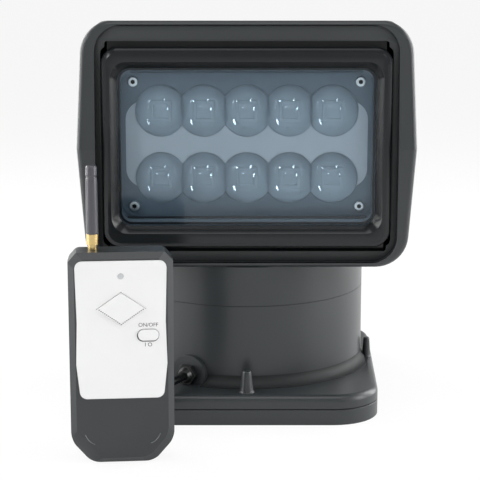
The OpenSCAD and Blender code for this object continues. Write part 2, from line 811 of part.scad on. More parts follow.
module head_block(wall, roof, floor, front, top_lean, low_lean) {
    intersection() {
        translate([0, far, 0]) rotate([90, 0, 0]) linear_extrude(2 * far)
            polygon(front_points(wall, roof, floor));
        linear_extrude(head_top + 10) polygon(plan_points(wall, head_front + 10));
        translate([-far, 0, 0]) rotate([90, 0, 90]) linear_extrude(2 * far)
            polygon(profile_points(wall, roof, floor, front, top_lean, low_lean));
    }
}

module head_shell() {
    difference() {
        head_block(0, 0, 0, head_front, roof_lean, floor_lean);
        head_block(head_wall, roof_t, floor_t, head_front - lip_depth, 0, 0);
        translate([0, 0, (head_top - roof_t + floor_top) / 2])
            front_block(opening_w, head_top - roof_t - floor_top, lip_corner_r, -head_front - 10, tilt_y);
    }
}

module at_tilt() {
    translate([0, tilt_y, tilt_z]) children();
}

// Bearing bosses on both sides of the head
module tilt_bosses() {
    at_tilt() for (s = [-1, 1]) mirror([s < 0 ? 1 : 0, 0, 0]) rod_x(boss_r, bush_x, bush_wall_x + 0.5);
}

module tilt_boss_bores() {
    at_tilt() for (s = [-1, 1]) mirror([s < 0 ? 1 : 0, 0, 0]) rod_x(bush_r + fit, bush_x - 1, bush_wall_x);
}

module below_parting() {
    translate([-far, -far, 0]) cube([2 * far, 2 * far, tilt_z]);
}

module shell_posts(z0, z1) {
    for (x = [-1, 1])
        translate([x * shell_post_x, shell_post_y, z0]) cylinder(r = shell_post_r, h = z1 - z0);
}

module motor_stand() {
    translate([stand_x, tilt_motor_y - stand_w / 2, floor_top - 1])
        cube([stand_l, stand_w, tilt_z - floor_top + 1]);
}

module lower_shell() {
    color("#303436") difference() {
        union() {
            intersection() {
                union() {
                    head_shell();
                    tilt_bosses();
                }
                below_parting();
            }
            shell_posts(floor_top - 1, tilt_z);
            motor_stand();
        }
        tilt_boss_bores();
        at_tilt() translate([0, tilt_centre, 0])
            rod_x(tilt_motor_d / 2 + fit, tilt_motor_x[0], tilt_motor_x[1]);
        translate([0, 0, neck_top - 1]) cylinder(r = wire_d / 2, h = floor_t + 2);
        at_neck_posts()
            translate([0, 0, neck_top - 1]) cylinder(r = screw_bore_r + slack, h = floor_t + 2);
        shell_posts_bore();
        stand_bores();
    }
}

module shell_posts_bore() {
    for (x = [-1, 1]) translate([x * shell_post_x, shell_post_y, neck_top - 1]) {
        cylinder(r = screw_bore_r + slack, h = tilt_rise + 2);
        cylinder(r = screw_head_r + head_room, h = shell_screw_bore + 1);
    }
}

module at_clamp_screws() {
    for (y = [-1, 1])
        translate([clamp_x + clamp_l / 2, tilt_motor_y + y * clamp_screw_reach, 0]) children();
}

module stand_bores() {
    at_clamp_screws() translate([0, 0, tilt_z - 10]) cylinder(r = clamp_screw_r + fit, h = 11);
}

module upper_shell() {
    color("#3c4042") difference() {
        union() {
            difference() {
                union() {
                    head_shell();
                    tilt_bosses();
                }
                below_parting();
            }
            intersection() {
                shell_posts(tilt_z, head_top);
                head_block(1, 1, 1, head_front, 0, 0);
            }
        }
        tilt_boss_bores();
        for (x = [-1, 1]) translate([x * shell_post_x, shell_post_y, tilt_z - 1])
            cylinder(r = screw_bore_r, h = shell_screw_grip + 3);
    }
}

module turret_screws() {
    color("#9a9da0") at_neck_posts()
        translate([0, 0, floor_top + screw_head_h]) mirror([0, 0, 1]) screw_up(floor_t + neck_post_grip);
}

module shell_screws() {
    post_z = neck_top + shell_screw_bore - screw_head_h;
    color("#9a9da0") for (x = [-1, 1]) translate([x * shell_post_x, shell_post_y, post_z])
        screw_up(tilt_z + shell_screw_grip - post_z - screw_head_h);
}

module tilt_bushes() {
    color("#e8e6df") at_tilt() for (s = [-1, 1]) mirror([s < 0 ? 1 : 0, 0, 0]) difference() {
        rod_x(bush_r, bush_x, bush_wall_x - 0.1);
        rod_x(trunnion_d / 2 + fit, bush_x - 1, bush_wall_x + 1);
    }
}

module tilt_motor() {
    color("#8d9094") at_tilt() translate([0, tilt_centre, 0]) difference() {
        rod_x(tilt_motor_d / 2, tilt_motor_x[0], tilt_motor_x[1]);
        rod_x(pinion_shaft_r + fit, tilt_motor_x[1] - pinion_grip - 1, tilt_motor_x[1] + 1);
    }
}

module motor_clamp() {
    r = tilt_motor_d / 2;
    color("#4a4e50") at_tilt() translate([clamp_x, tilt_centre, 0]) difference() {
        union() {
            rod_x(r + clamp_band, 0, clamp_l);
            translate([0, -stand_w / 2, 0]) cube([clamp_l, stand_w, clamp_t]);
        }
        rod_x(r + fit, -1, clamp_l + 1);
        translate([-1, -far, -far]) cube([clamp_l + 2, 2 * far, far]);
        for (y = [-1, 1]) translate([clamp_l / 2, y * clamp_screw_reach, -1])
            cylinder(r = clamp_screw_r + fit, h = clamp_t + 5);
    }
}

module clamp_screws() {
    color("#9a9da0") at_clamp_screws() {
        translate([0, 0, tilt_z + clamp_t]) cylinder(r = 1.6, h = 1.4);
        translate([0, 0, tilt_z - 8]) cylinder(r = clamp_screw_r, h = clamp_t + 9);
    }
}

module tilt_pinion() {
    color("#e4e0d2") at_tilt() translate([0, tilt_centre, 0]) {
        rotate([90, 0, 90]) translate([0, 0, sector_x]) rotate(180 + 180 / pinion_teeth)
            linear_extrude(tilt_face) polygon(gear_outline(pinion_teeth, 0, pinion_teeth - 1));
        rod_x(pinion_shaft_r, tilt_motor_x[1] - pinion_grip, sector_x + tilt_face);
    }
}

// Lamp

module at_front(u) {
    translate([0, -u, 0]) children();
}

module lamp_case() {
    flange_front = bezel_back;
    flange_back = bezel_back - flange_t;
    color("#2c3032") at_tilt() difference() {
        union() {
            difference() {
                intersection() {
                    rod_x(drum_r, -case_w / 2, case_w / 2);
                    translate([-far, -flange_front, -far])
                        cube([2 * far, flange_front - case_back_u, 2 * far]);
                }
                intersection() {
                    rod_x(drum_r - case_wall, case_wall - case_w / 2, case_w / 2 - case_wall);
                    translate([-far, -flange_back, -far]) cube([2 * far, far, 2 * far]);
                }
            }
            at_case_posts() rod_y(case_post_r, -flange_back - 1, -sink_u);
        }
        front_block(rebate_w + 0.4, rebate_h + 0.4, window_corner_r, -bezel_front, -flange_back + 0.5);
        at_case_posts() rod_y(small_bore_r, -flange_back + 1.5, -sink_u + 1);
        for (x = [-1, 1])
            rod_x(trunnion_d / 2 + fit, x * case_w / 2 - trunnion_grip, x * case_w / 2 + trunnion_grip);
        at_bezel_screws() rod_y(small_hole_r, -flange_front - 1, -flange_back + 1);
    }
}

// Copies at the four corners of a rectangle in the front view
module front_corners(x, z) {
    for (i = [-1, 1], j = [-1, 1]) translate([i * x, 0, j * z]) children();
}

module at_bezel_screws() {
    front_corners(bezel_screw_x, bezel_screw_z) children();
}

module at_case_posts() {
    front_corners(case_post_x, case_post_z) children();
}

// Frame of the lamp, its face sloping inwards to the window
module bezel() {
    mouth_w = window_w + 2 * bezel_slope;
    mouth_h = window_h + 2 * bezel_slope;
    color("#2c3032") at_tilt() difference() {
        hull() for (e = [[0, 3], [0.9, 0.9], [3, 0]])
            front_block(bezel_w - 2 * e[0], bezel_h - 2 * e[0], bezel_corner_r - e[0],
                e[1] - bezel_front, -bezel_back);
        hull() {
            front_block(mouth_w, mouth_h, window_corner_r + 2, -bezel_front - 1, -bezel_front);
            front_block(window_w, window_h, window_corner_r, -seat_u - 0.1, -seat_u + 0.1);
        }
        front_block(window_w, window_h, window_corner_r, -bezel_front, -bezel_back + 1);
        front_block(rebate_w, rebate_h, window_corner_r + 1, -seat_u, -bezel_back + 1);
        at_bezel_screws() rod_y(small_bore_r, -bezel_back - bezel_screw_grip - 0.5, -bezel_back + 1);
    }
}

module window_seal() {
    color("#101112") at_tilt() difference() {
        front_block(rebate_w - 0.4, rebate_h - 0.4, window_corner_r + 1, -seat_u, -glass_u);
        front_block(window_w + 0.6, window_h + 0.6, window_corner_r, -seat_u - 1, -glass_u + 1);
    }
}

module glass() {
    color("#7d8c9c", 0.4) at_tilt()
        front_block(rebate_w - 0.4, rebate_h - 0.4, window_corner_r + 1, -glass_u, -tray_u);
}

module at_lenses() {
    for (i = [0:lens_count - 1], z = [-1, 1]) {
        $lens = i;
        translate([(i - (lens_count - 1) / 2) * lens_pitch, 0, z * row_pitch / 2]) children();
    }
}

module optic_tray() {
    color("#6c7886") at_tilt() difference() {
        front_block(rebate_w - 0.4, rebate_h - 0.4, window_corner_r + 1, -tray_u, -board_u);
        front_block(window_w - 2, window_h - 6, window_corner_r - 1, -tray_u - 1, -plate_u);
        at_lenses() rod_y(led_bore_r, -plate_u - 1, -board_u + 1);
        at_tray_screws() rod_y(small_hole_r, -plate_u - 1, -board_u + 1);
    }
}

module at_tray_screws() {
    front_corners(tray_screw_x, tray_screw_z) children();
}

// Domed lens with a pocket over its light source, cut flat where it meets its neighbours
module lens(left, right) {
    dome_r = (pow(lens_r, 2) + pow(lens_dome_h, 2)) / (2 * lens_dome_h);
    lens_h = lens_edge_h + lens_dome_h;
    difference() {
        intersection() {
            translate([0, 0, lens_h - dome_r]) sphere(dome_r);
            cylinder(r = lens_r, h = lens_h);
            translate([-left, -2 * lens_r, -1]) cube([left + right, 4 * lens_r, lens_h + 2]);
        }
        translate([0, 0, -1]) cylinder(r = led_bore_r, h = 1.9);
    }
}

module lenses() {
    shared = lens_pitch / 2 - fit;
    color("#aebccb", 0.7) at_tilt() at_lenses() at_front(plate_u) rotate([90, 0, 0])
        lens($lens == 0 ? lens_r : shared, $lens == lens_count - 1 ? lens_r : shared);
}

module tray_screws() {
    color("#c4c7ca") at_tilt() at_tray_screws() {
        rod_y(tray_head_r, -plate_u - tray_head_h, -plate_u);
        rod_y(tray_screw_r, -plate_u - 1, -sink_u + sink_t - 1);
    }
}

module led_board() {
    color("#d8dcde") at_tilt() difference() {
        front_block(rebate_w - 3, rebate_h - 3, 3, -board_u, -sink_u);
        at_tray_screws() rod_y(small_hole_r, -board_u - 1, -sink_u + 1);
    }
}

module leds() {
    color("#e0c95a") at_tilt() at_lenses() at_front(board_u) rotate([90, 0, 0])
        translate([-led_w / 2, -led_w / 2, 0]) cube([led_w, led_w, tray_t + 0.6]);
}

// Fins stay inside the sweep of the lamp's back
module heat_sink() {
    sink_h = 2 * case_post_z + 6;
    color("#b0b4b8") at_tilt() difference() {
        union() {
            front_block(sink_w, sink_h, 3, -sink_u, sink_t - sink_u);
            intersection() {
                for (i = [0:fin_count - 1])
                    translate([(i - (fin_count - 1) / 2) * fin_pitch - fin_t / 2, sink_t - sink_u - 1,
                        -fin_half_h]) cube([fin_t, sink_u - fin_tip_u - sink_t, 2 * fin_half_h]);
                rod_x(fin_sweep_r, -far, far);
            }
        }
        at_tray_screws() rod_y(tray_screw_r + fit, -sink_u - 1, sink_t - sink_u + 1);
        at_case_posts() rod_y(small_hole_r, -sink_u - 1, sink_t - sink_u + 1);
    }
}

module sink_screws() {
    color("#9a9da0") at_tilt() at_case_posts() {
        rod_y(small_head_r, sink_t - sink_u, sink_t - sink_u + small_head_h);
        rod_y(small_screw_r, -sink_u - sink_screw_grip, sink_t - sink_u + 1);
    }
}

module bezel_screws() {
    color("#9a9da0") at_tilt() at_bezel_screws() {
        rod_y(small_head_r, flange_t - bezel_back, flange_t - bezel_back + small_head_h);
        rod_y(small_screw_r, -bezel_back - bezel_screw_grip, flange_t - bezel_back + 1);
    }
}

module trunnions() {
    color("#b4b7ba") at_tilt() for (s = [-1, 1]) mirror([s < 0 ? 1 : 0, 0, 0]) {
        rod_x(trunnion_d / 2, case_w / 2 - case_wall - 1, bush_wall_x - 0.4);
        rod_x(trunnion_d / 2 + 3, case_w / 2 - case_wall - 2, case_w / 2 - case_wall);
    }
}

module tilt_sector() {
    span = 12;
    root_r = gear_module * (tilt_teeth / 2 - 1.1);
    inner_r = root_r - sector_rim;
    edge = (span + 0.5) * 360 / tilt_teeth;
    color("#e4e0d2") at_tilt() rotate([90, 0, 90]) translate([0, 0, sector_x]) difference() {
        linear_extrude(tilt_face) union() {
            polygon(concat(gear_outline(tilt_teeth, -span, span), arc([0, 0], inner_r, edge, -edge, 16)));
            polygon(concat([[0, 0]], arc([0, 0], root_r - sector_web, -14, 14, 8)));
            circle(trunnion_d / 2 + sector_hub);
        }
        translate([0, 0, -1]) cylinder(r = trunnion_d / 2 + fit, h = tilt_face + 2);
    }
}

// Handset

module at_handset() {
    translate([hand_x, hand_y, 0]) rotate(hand_yaw) children();
}

function hand_points(inset) =
    let (x = hand_w / 2 - inset, z0 = inset, z1 = hand_h - inset, foot = hand_foot_cut, top = hand_corner)
    [[x, z0 + foot * 1.15], [x, z1 - top], [x - top * 0.9, z1], [top * 0.9 - x, z1], [-x, z1 - top],
        [-x, z0 + foot * 1.15], [foot - x, z0], [x - foot, z0]];

module hand_slab(inset, y0, y1) {
    translate([0, y1, 0]) rotate([90, 0, 0]) linear_extrude(y1 - y0) polygon(hand_points(inset));
}

// Half of the handset's body, its edge chamfered at the outer face
module hand_half_block() {
    hull() {
        hand_slab(0, -hand_half + hand_edge, 0);
        hand_slab(hand_edge, -hand_half, 0);
    }
}

module panel_slab(inset, y0, y1) {
    w = hand_w / 2 - panel_side_inset - inset;
    top = hand_h - panel_top_inset - inset;
    low = panel_z + inset;
    r = panel_corner_r;
    foot_x = w - r - panel_foot;
    waist_x = w - panel_waist;
    translate([0, y1, 0]) rotate([90, 0, 0]) linear_extrude(y1 - y0) polygon(concat(
        arc([w - r, top - r], r, 0, 90, 6), arc([r - w, top - r], r, 90, 180, 6),
        [[-waist_x, panel_waist_z], [-w, panel_hip_z]], arc([-foot_x, low + r], r, 190, 270, 6),
        arc([foot_x, low + r], r, 270, 350, 6), [[w, panel_hip_z], [waist_x, panel_waist_z]]));
}

module pad_slab(inset, y0, y1) {
    w = pad_half_w - inset;
    h = pad_half_h - inset;
    translate([0, y1, pad_z]) rotate([90, 0, 0]) linear_extrude(y1 - y0)
        polygon([[w, 0], [0, h], [-w, 0], [0, -h]]);
}

module button_slab(inset, y0, y1) {
    w = button_w - 2 * inset;
    h = button_h - 2 * inset;
    translate([button_x, y1, button_z]) rotate([90, 0, 0]) linear_extrude(y1 - y0)
        round_rect(w, h, h / 2 - 0.05);
}

module at_hand_screws() {
    for (x = [-1, 1], z = hand_screw_z)
        translate([x * (hand_w / 2 - hand_screw_inset), 0, z]) children();
}

module handset_front() {
    color("#44484a") at_handset() difference() {
        hand_half_block();
        difference() {
            hand_slab(hand_wall + hand_edge, -hand_half + hand_wall + 1.4, 1);
            at_hand_screws() rod_y(hand_post_r, -hand_half, 1);
        }
        panel_slab(-0.15, -hand_half - 1, -hand_half + panel_t - panel_proud);
        pad_slab(-key_gap, -hand_half - 1, 0);
        button_slab(-key_gap, -hand_half - 1, 0);
        translate([0, 0, indicator_z]) rod_y(indicator_r + fit, -hand_half - 1, 0);
        at_hand_screws() rod_y(1.3, -6, 1);
        translate([antenna_x, 0, hand_h - antenna_stud_h - 1])
            cylinder(r = antenna_stud_r + fit, h = antenna_stud_h + 5);
    }
}

module handset_back() {
    color("#3a3e40") at_handset() difference() {
        mirror([0, 1, 0]) hand_half_block();
        difference() {
            hand_slab(hand_wall + hand_edge, -1, hand_half - hand_wall - 0.6);
            at_hand_screws() rod_y(hand_post_r, -1, hand_half);
        }
        translate([-door_w / 2 - 0.2, hand_half - door_t - 0.1, door_z[0] - 0.2])
            cube([door_w + 0.4, 5, door_z[1] - door_z[0] + 0.4]);
        translate([-door_w / 2 + 2, 0, door_z[0] + 2])
            cube([door_w - 4, hand_half + 1, door_z[1] - door_z[0] - 4]);
        at_hand_screws() {
            rod_y(1.5, -1, hand_half + 1);
            rod_y(2.9, hand_half - 2.4, hand_half + 1);
        }
        translate([antenna_x, 0, hand_h - antenna_stud_h - 1])
            cylinder(r = antenna_stud_r + fit, h = antenna_stud_h + 5);
    }
}

module handset_panel() {
    y0 = -hand_half - panel_proud;
    color("#f2f2f0") at_handset() difference() {
        panel_slab(0, y0, y0 + panel_t);
        pad_slab(-key_gap, y0 - 1, 0);
        button_slab(-key_gap, y0 - 1, 0);
        translate([0, 0, indicator_z]) rod_y(indicator_r + fit, y0 - 1, 0);
    }
}

module power_button() {
    y0 = -hand_half - panel_proud - key_height;
    color("#e6e6e4") at_handset() union() {
        button_slab(0, y0, key_seat);
        button_slab(-1, key_seat, key_seat + key_flange_t);
    }
}

module direction_pad() {
    y0 = -hand_half - panel_proud - key_height;
    color("#ececea") at_handset() union() {
        pad_slab(0, y0, key_seat);
        pad_slab(-1.5, key_seat, key_seat + key_flange_t);
    }
}

module indicator() {
    color("#b8bcc0") at_handset() translate([0, 0, indicator_z])
        rod_y(indicator_r, -hand_half - panel_proud - 0.3, hand_board_y);
}

module handset_board() {
    w = hand_w - 2 * hand_board_inset;
    color("#1f5a3a") at_handset() translate([-w / 2, hand_board_y, hand_board_z])
        cube([w, pcb_t, hand_h - hand_board_z - hand_board_top]);
}

module battery() {
    y0 = hand_board_y + pcb_t + 0.4;
    color("#c8a03c") at_handset() translate([-battery_w / 2, y0, battery_z])
        cube([battery_w, hand_half - door_t - 0.3 - y0, battery_h]);
}

module battery_door() {
    color("#34383a") at_handset() translate([-door_w / 2, hand_half - door_t - 0.1, door_z[0]])
        cube([door_w, door_t, door_z[1] - door_z[0]]);
}

module handset_screws() {
    color("#9a9da0") at_handset() at_hand_screws() {
        rod_y(2.7, hand_half - 2.4, hand_half - 0.8);
        rod_y(1.25, -5.5, hand_half - 1.6);
    }
}

module antenna_collar() {
    color("#c9a24e") at_handset() translate([antenna_x, 0, hand_h]) rotate_extrude()
        polygon([[0, -antenna_stud_h], [antenna_stud_r, -antenna_stud_h], [antenna_stud_r, 0], [2.5, 0],
            [2.5, 3], [collar_r, 3], [collar_r, collar_h_top], [0, collar_h_top]]);
}

module antenna_sleeve() {
    r = antenna_d / 2;
    color("#4a4a4e") at_handset() translate([antenna_x, 0, hand_h + collar_h_top]) rotate_extrude()
        polygon([[0, 0], [r, 0], [r * 0.92, antenna_h - 7], [r * 0.82, antenna_h - 6.6],
            [r * 0.82, antenna_h - 5.6], [r * 0.92, antenna_h - 5.2], [r * 0.88, antenna_h - 0.8],
            [r * 0.7, antenna_h], [0, antenna_h]]);
}

base_plate();
mount_inserts();
base_seal();
base_cover();
cover_screws();
column();
foot_ring();
column_screws();
cable_gland();
gland_nut();
power_lead();
lead_coil();
lead_tail();
power_plug();
gear_deck();
deck_screws();
control_board();
pan_motor();
thrust_washer();
pan_pinion();
neck();
pan_gear();
spindle_clip();
lower_shell();
upper_shell();
turret_screws();
shell_screws();
tilt_bushes();
tilt_motor();
motor_clamp();
clamp_screws();
tilt_pinion();
lamp_case();
bezel();
window_seal();
glass();
optic_tray();
lenses();
tray_screws();
led_board();
leds();
heat_sink();
sink_screws();
bezel_screws();
trunnions();
tilt_sector();
handset_front();
handset_back();
handset_panel();
power_button();
direction_pad();
indicator();
handset_board();
battery();
battery_door();
handset_screws();
antenna_collar();
antenna_sleeve();
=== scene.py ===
# Marine searchlight with its radio handset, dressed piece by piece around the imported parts
import json
import math

import bpy
from mathutils import Matrix, Vector

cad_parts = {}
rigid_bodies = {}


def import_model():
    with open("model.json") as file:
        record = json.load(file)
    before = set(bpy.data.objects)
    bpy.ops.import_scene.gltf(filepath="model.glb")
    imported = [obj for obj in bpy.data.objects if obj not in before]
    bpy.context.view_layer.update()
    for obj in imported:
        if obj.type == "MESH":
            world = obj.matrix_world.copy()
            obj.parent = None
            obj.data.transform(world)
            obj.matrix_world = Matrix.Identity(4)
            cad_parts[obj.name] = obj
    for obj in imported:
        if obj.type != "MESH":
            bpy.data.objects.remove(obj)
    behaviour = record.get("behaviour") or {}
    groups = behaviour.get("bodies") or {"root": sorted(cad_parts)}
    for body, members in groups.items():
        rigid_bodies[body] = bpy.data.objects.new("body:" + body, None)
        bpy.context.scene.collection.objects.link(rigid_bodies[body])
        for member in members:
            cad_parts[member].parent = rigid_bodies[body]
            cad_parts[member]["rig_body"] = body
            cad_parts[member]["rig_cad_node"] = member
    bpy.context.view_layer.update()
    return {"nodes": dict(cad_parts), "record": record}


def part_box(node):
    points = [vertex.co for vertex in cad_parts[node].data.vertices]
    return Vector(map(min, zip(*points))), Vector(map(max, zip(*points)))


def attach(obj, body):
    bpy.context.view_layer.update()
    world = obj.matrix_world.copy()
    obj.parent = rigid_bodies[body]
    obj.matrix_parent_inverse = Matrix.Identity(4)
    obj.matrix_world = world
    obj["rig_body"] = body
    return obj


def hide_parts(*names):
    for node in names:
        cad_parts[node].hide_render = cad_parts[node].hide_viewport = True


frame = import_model()
MM = 0.001

# Camera
# It stands in front of the light and a little above it, at the photograph's distance
# and pitch, with a long lens, no shift and no depth of field.
camera_place = (-3.93 * MM, -950 * MM, 281.75 * MM)
camera_pitch = math.radians(78.655)
bpy.ops.object.camera_add(location=camera_place, rotation=(camera_pitch, 0, 0))
camera = bpy.context.object
camera.data.lens = 116.03
camera.data.sensor_width = 36
scene = bpy.context.scene
scene.camera = camera
scene.view_settings.view_transform = "Standard"


# Studio floor and light
# A pale floor runs far behind the object and meets a white surround. Soft boxes stand at the sides,
# behind and above, narrow strips at both front corners, and the rest of the room in front is dim.
def linear(hex_colour):
    """Linear RGBA of an sRGB hex colour."""
    parts = []
    for i in (1, 3, 5):
        c = int(hex_colour[i:i + 2], 16) / 255
        parts.append(c / 12.92 if c <= 0.04045 else ((c + 0.055) / 1.055) ** 2.4)
    return (*parts, 1.0)


def add_node(tree, kind, values=None, links=None, **settings):
    """Adds a node with its settings, input values and links, each link an (input, node, output)."""
    node = tree.nodes.new(kind)
    for name, value in settings.items():
        setattr(node, name, value)
    for name, value in (values or {}).items():
        node.inputs[name].default_value = value
    for name, source, output in links or []:
        tree.links.new(source.outputs[output], node.inputs[name])
    return node


def new_material(name):
    """An empty node material and its tree."""
    material = bpy.data.materials.new(name)
    material.use_nodes = True
    material.node_tree.nodes.clear()
    return material, material.node_tree


def deselect():
    """Clears the selection, so that the next operator acts only on its own piece."""
    for item in bpy.context.selected_objects:
        item.select_set(False)


def light_paths(tree):
    """The light path, and a node that is 1 for what the camera sees, straight or through glass."""
    paths = add_node(tree, "ShaderNodeLightPath")
    seen = add_node(tree, "ShaderNodeMath", operation="MAXIMUM",
                    links=[(0, paths, "Is Camera Ray"), (1, paths, "Is Transmission Ray")])
    return paths, seen


# The floor is in part plain white to the camera and to a gloss. The rest is matt paint, which
# keeps the object's shadow.
white_seen = 0.88
white_mirrored = 0.45
floor_size = 16
floor_middle = (0, 4, 0)
deselect()
bpy.ops.mesh.primitive_plane_add(size=floor_size, location=floor_middle)
floor = bpy.context.object
floor.name = "studio_floor"
floor_paint, tree = new_material("studio_floor_paint")
paths, seen = light_paths(tree)
direct = add_node(tree, "ShaderNodeMath", {1: white_seen}, [(0, seen, 0)], operation="MULTIPLY")
mirrored = add_node(tree, "ShaderNodeMath", {1: white_mirrored}, [(0, paths, "Is Glossy Ray")],
                    operation="MULTIPLY")
share = add_node(tree, "ShaderNodeMath", links=[(0, direct, 0), (1, mirrored, 0)], operation="MAXIMUM")
matt = add_node(tree, "ShaderNodeBsdfDiffuse", {"Color": linear("#f4f4f4")})
glow = add_node(tree, "ShaderNodeEmission", {"Color": linear("#ffffff"), "Strength": 1.0})
mixed = add_node(tree, "ShaderNodeMixShader", links=[(0, share, 0), (1, matt, 0), (2, glow, 0)])
add_node(tree, "ShaderNodeOutputMaterial", links=[("Surface", mixed, 0)])
floor.data.materials.append(floor_paint)

world = bpy.data.worlds.new("studio")
scene.world = world
world.use_nodes = True
tree = world.node_tree
tree.nodes.clear()
room_front = 0.2
room_back = 0.6
seen = light_paths(tree)[1]
around = add_node(tree, "ShaderNodeTexCoord")
axes = add_node(tree, "ShaderNodeSeparateXYZ", links=[("Vector", around, "Generated")])
dimmer = add_node(tree, "ShaderNodeMapRange",
                  {"From Min": -0.9, "From Max": 0.9, "To Min": room_front, "To Max": room_back},
                  [("Value", axes, "Y")])
room = add_node(tree, "ShaderNodeBackground", {"Color": linear("#ffffff")}, [("Strength", dimmer, 0)])
white = add_node(tree, "ShaderNodeBackground", {"Color": linear("#ffffff"), "Strength": 1.0})
mixed = add_node(tree, "ShaderNodeMixShader", links=[(0, seen, 0), (1, room, 0), (2, white, 0)])
add_node(tree, "ShaderNodeOutputWorld", links=[("Surface", mixed, 0)])


def soft_box(name, place, target, width, height, watts):
    """A rectangular lamp at a place in metres, turned to a target."""
    bpy.ops.object.light_add(type="AREA", location=place)
    lamp = bpy.context.object
    lamp.name = name
    lamp.data.shape = "RECTANGLE"
    lamp.data.size = width
    lamp.data.size_y = height
    lamp.data.energy = watts
    aim = Vector(target) - Vector(place)
    lamp.rotation_euler = aim.to_track_quat("-Z", "Y").to_euler()


soft_box("soft_box_right_back", (0.8, 0.4, 0.35), (0, 0, 0.1), 0.5, 0.9, 8)
soft_box("soft_box_right", (0.98, -0.3, 0.3), (0, 0, 0.06), 0.5, 0.9, 7.2)
soft_box("soft_box_left", (-0.95, -0.2, 0.35), (0, 0, 0.12), 0.6, 0.9, 7.6)
soft_box("strip_lamp_left", (-0.76, -0.87, 0.5), (0, -0.05, 0.15), 0.1, 0.6, 0.9)
soft_box("small_lamp_left", (-0.72, -0.82, 0.6), (0, -0.05, 0.15), 0.1, 0.12, 0.45)
soft_box("strip_lamp_right", (0.7, -0.9, 0.45), (0, -0.05, 0.15), 0.1, 0.6, 0.6)
soft_box("soft_box_left_back", (-0.75, 0.5, 0.4), (0, 0, 0.12), 0.4, 0.8, 6)
soft_box("soft_box_top", (0.05, -0.5, 1.15), (0, -0.03, 0.12), 0.9, 0.7, 3.5)
soft_box("soft_box_front", (0.05, -1.5, 0.45), (0, -0.05, 0.15), 0.7, 0.35, 1.0)


# Bottom plate and base cover
# Two thick plates moulded in dark grey ABS, with a thin seal clamped between them. The cover
# carries three tapered pegs and its top edge is well rounded.

# Places of a Mix node's two colours among its inputs, and of its result among its outputs
mix_dark = 6
mix_light = 7
mix_colour = 2


def moulded_plastic(name, dark, light, rough, grain_mm=0.7, bump=0.02, ior=1.52):
    """Moulded ABS or nylon: a fine spark-eroded grain, drawn a little coarser than life so that
    it shows, and a faint cloudiness in colour and gloss from the flow of the melt."""
    cloud_mm = 30
    grain_depth_mm = 0.05
    gloss_swing = 0.04
    material, tree = new_material(name)
    place = add_node(tree, "ShaderNodeTexCoord")
    cloud = add_node(tree, "ShaderNodeTexNoise", {"Scale": 1 / (cloud_mm * MM), "Detail": 3.0},
                     [("Vector", place, "Object")])
    grain = add_node(tree, "ShaderNodeTexNoise", {"Scale": 1 / (grain_mm * MM), "Detail": 2.0},
                     [("Vector", place, "Object")])
    colour = add_node(tree, "ShaderNodeMix", data_type="RGBA", links=[("Factor", cloud, "Fac")],
                      values={mix_dark: linear(dark), mix_light: linear(light)})
    gloss = add_node(tree, "ShaderNodeMapRange", links=[("Value", cloud, "Fac")],
                     values={"To Min": rough - gloss_swing, "To Max": rough + gloss_swing})
    relief = add_node(tree, "ShaderNodeBump", {"Strength": bump, "Distance": grain_depth_mm * MM},
                      [("Height", grain, "Fac")])
    surface = add_node(tree, "ShaderNodeBsdfPrincipled", {"IOR": ior},
                       [("Base Color", colour, mix_colour), ("Roughness", gloss, 0), ("Normal", relief, 0)])
    add_node(tree, "ShaderNodeOutputMaterial", links=[("Surface", surface, 0)])
    return material


bodies = frame["record"]["behaviour"]["bodies"]


def dress(node, material):
    """Gives a CAD node that stays in view its finish."""
    piece = frame["nodes"][node]
    piece.data.materials.clear()
    piece.data.materials.append(material)


def keep(piece, name, body, slot, material, *nodes):
    """Names a finished piece, gives it its finish and lets it ride on a body, in place of CAD nodes."""
    piece.name = name
    piece.data.materials.clear()
    piece.data.materials.append(material)
    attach(piece, body)
    if nodes:
        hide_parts(*nodes)
    return piece


def pick(piece, kind, test):
    """Opens a piece in edit mode with just the faces or edges selected that pass the test. A face is
    tested by its middle and normal in millimetres, an edge by its middle and its faces' normals."""
    mesh = piece.data
    for group in (mesh.vertices, mesh.edges, mesh.polygons):
        for item in group:
            item.select = False
    if kind == "FACE":
        for face in mesh.polygons:
            face.select = test(face.center / MM, face.normal)
    else:
        sides = {}
        for face in mesh.polygons:
            for key in face.edge_keys:
                sides.setdefault(key, []).append(face.normal)
        for edge in mesh.edges:
            a, b = (mesh.vertices[i].co for i in edge.vertices)
            edge.select = test((a + b) / 2 / MM, sides.get(edge.key, []))
    deselect()
    piece.select_set(True)
    bpy.context.view_layer.objects.active = piece
    bpy.context.tool_settings.mesh_select_mode = (False, kind == "EDGE", kind == "FACE")
    bpy.ops.object.mode_set(mode="EDIT")


def smooth_off(piece, angle=30):
    """Leaves edit mode and shades the piece smooth across its soft edges."""
    bpy.ops.object.mode_set(mode="OBJECT")
    deselect()
    piece.select_set(True)
    bpy.context.view_layer.objects.active = piece
    bpy.ops.object.shade_smooth_by_angle(angle=math.radians(angle))


def round_edges(piece, edge_mm, segments=3, angle=32):
    """Rounds every edge of a piece that is sharper than the angle."""
    edge = piece.modifiers.new("edge", "BEVEL")
    edge.width = edge_mm * MM
    edge.segments = segments
    edge.limit_method = "ANGLE"
    edge.angle_limit = math.radians(angle)
    bpy.context.view_layer.objects.active = piece
    bpy.ops.object.modifier_apply(modifier="edge")


def round_some(piece, test, radius_mm, segments, clamp=False):
    """Rounds just those edges of a piece that pass the test."""
    pick(piece, "EDGE", test)
    bpy.ops.mesh.bevel(offset=radius_mm * MM, segments=segments, affect="EDGES", clamp_overlap=clamp)
    bpy.ops.object.mode_set(mode="OBJECT")


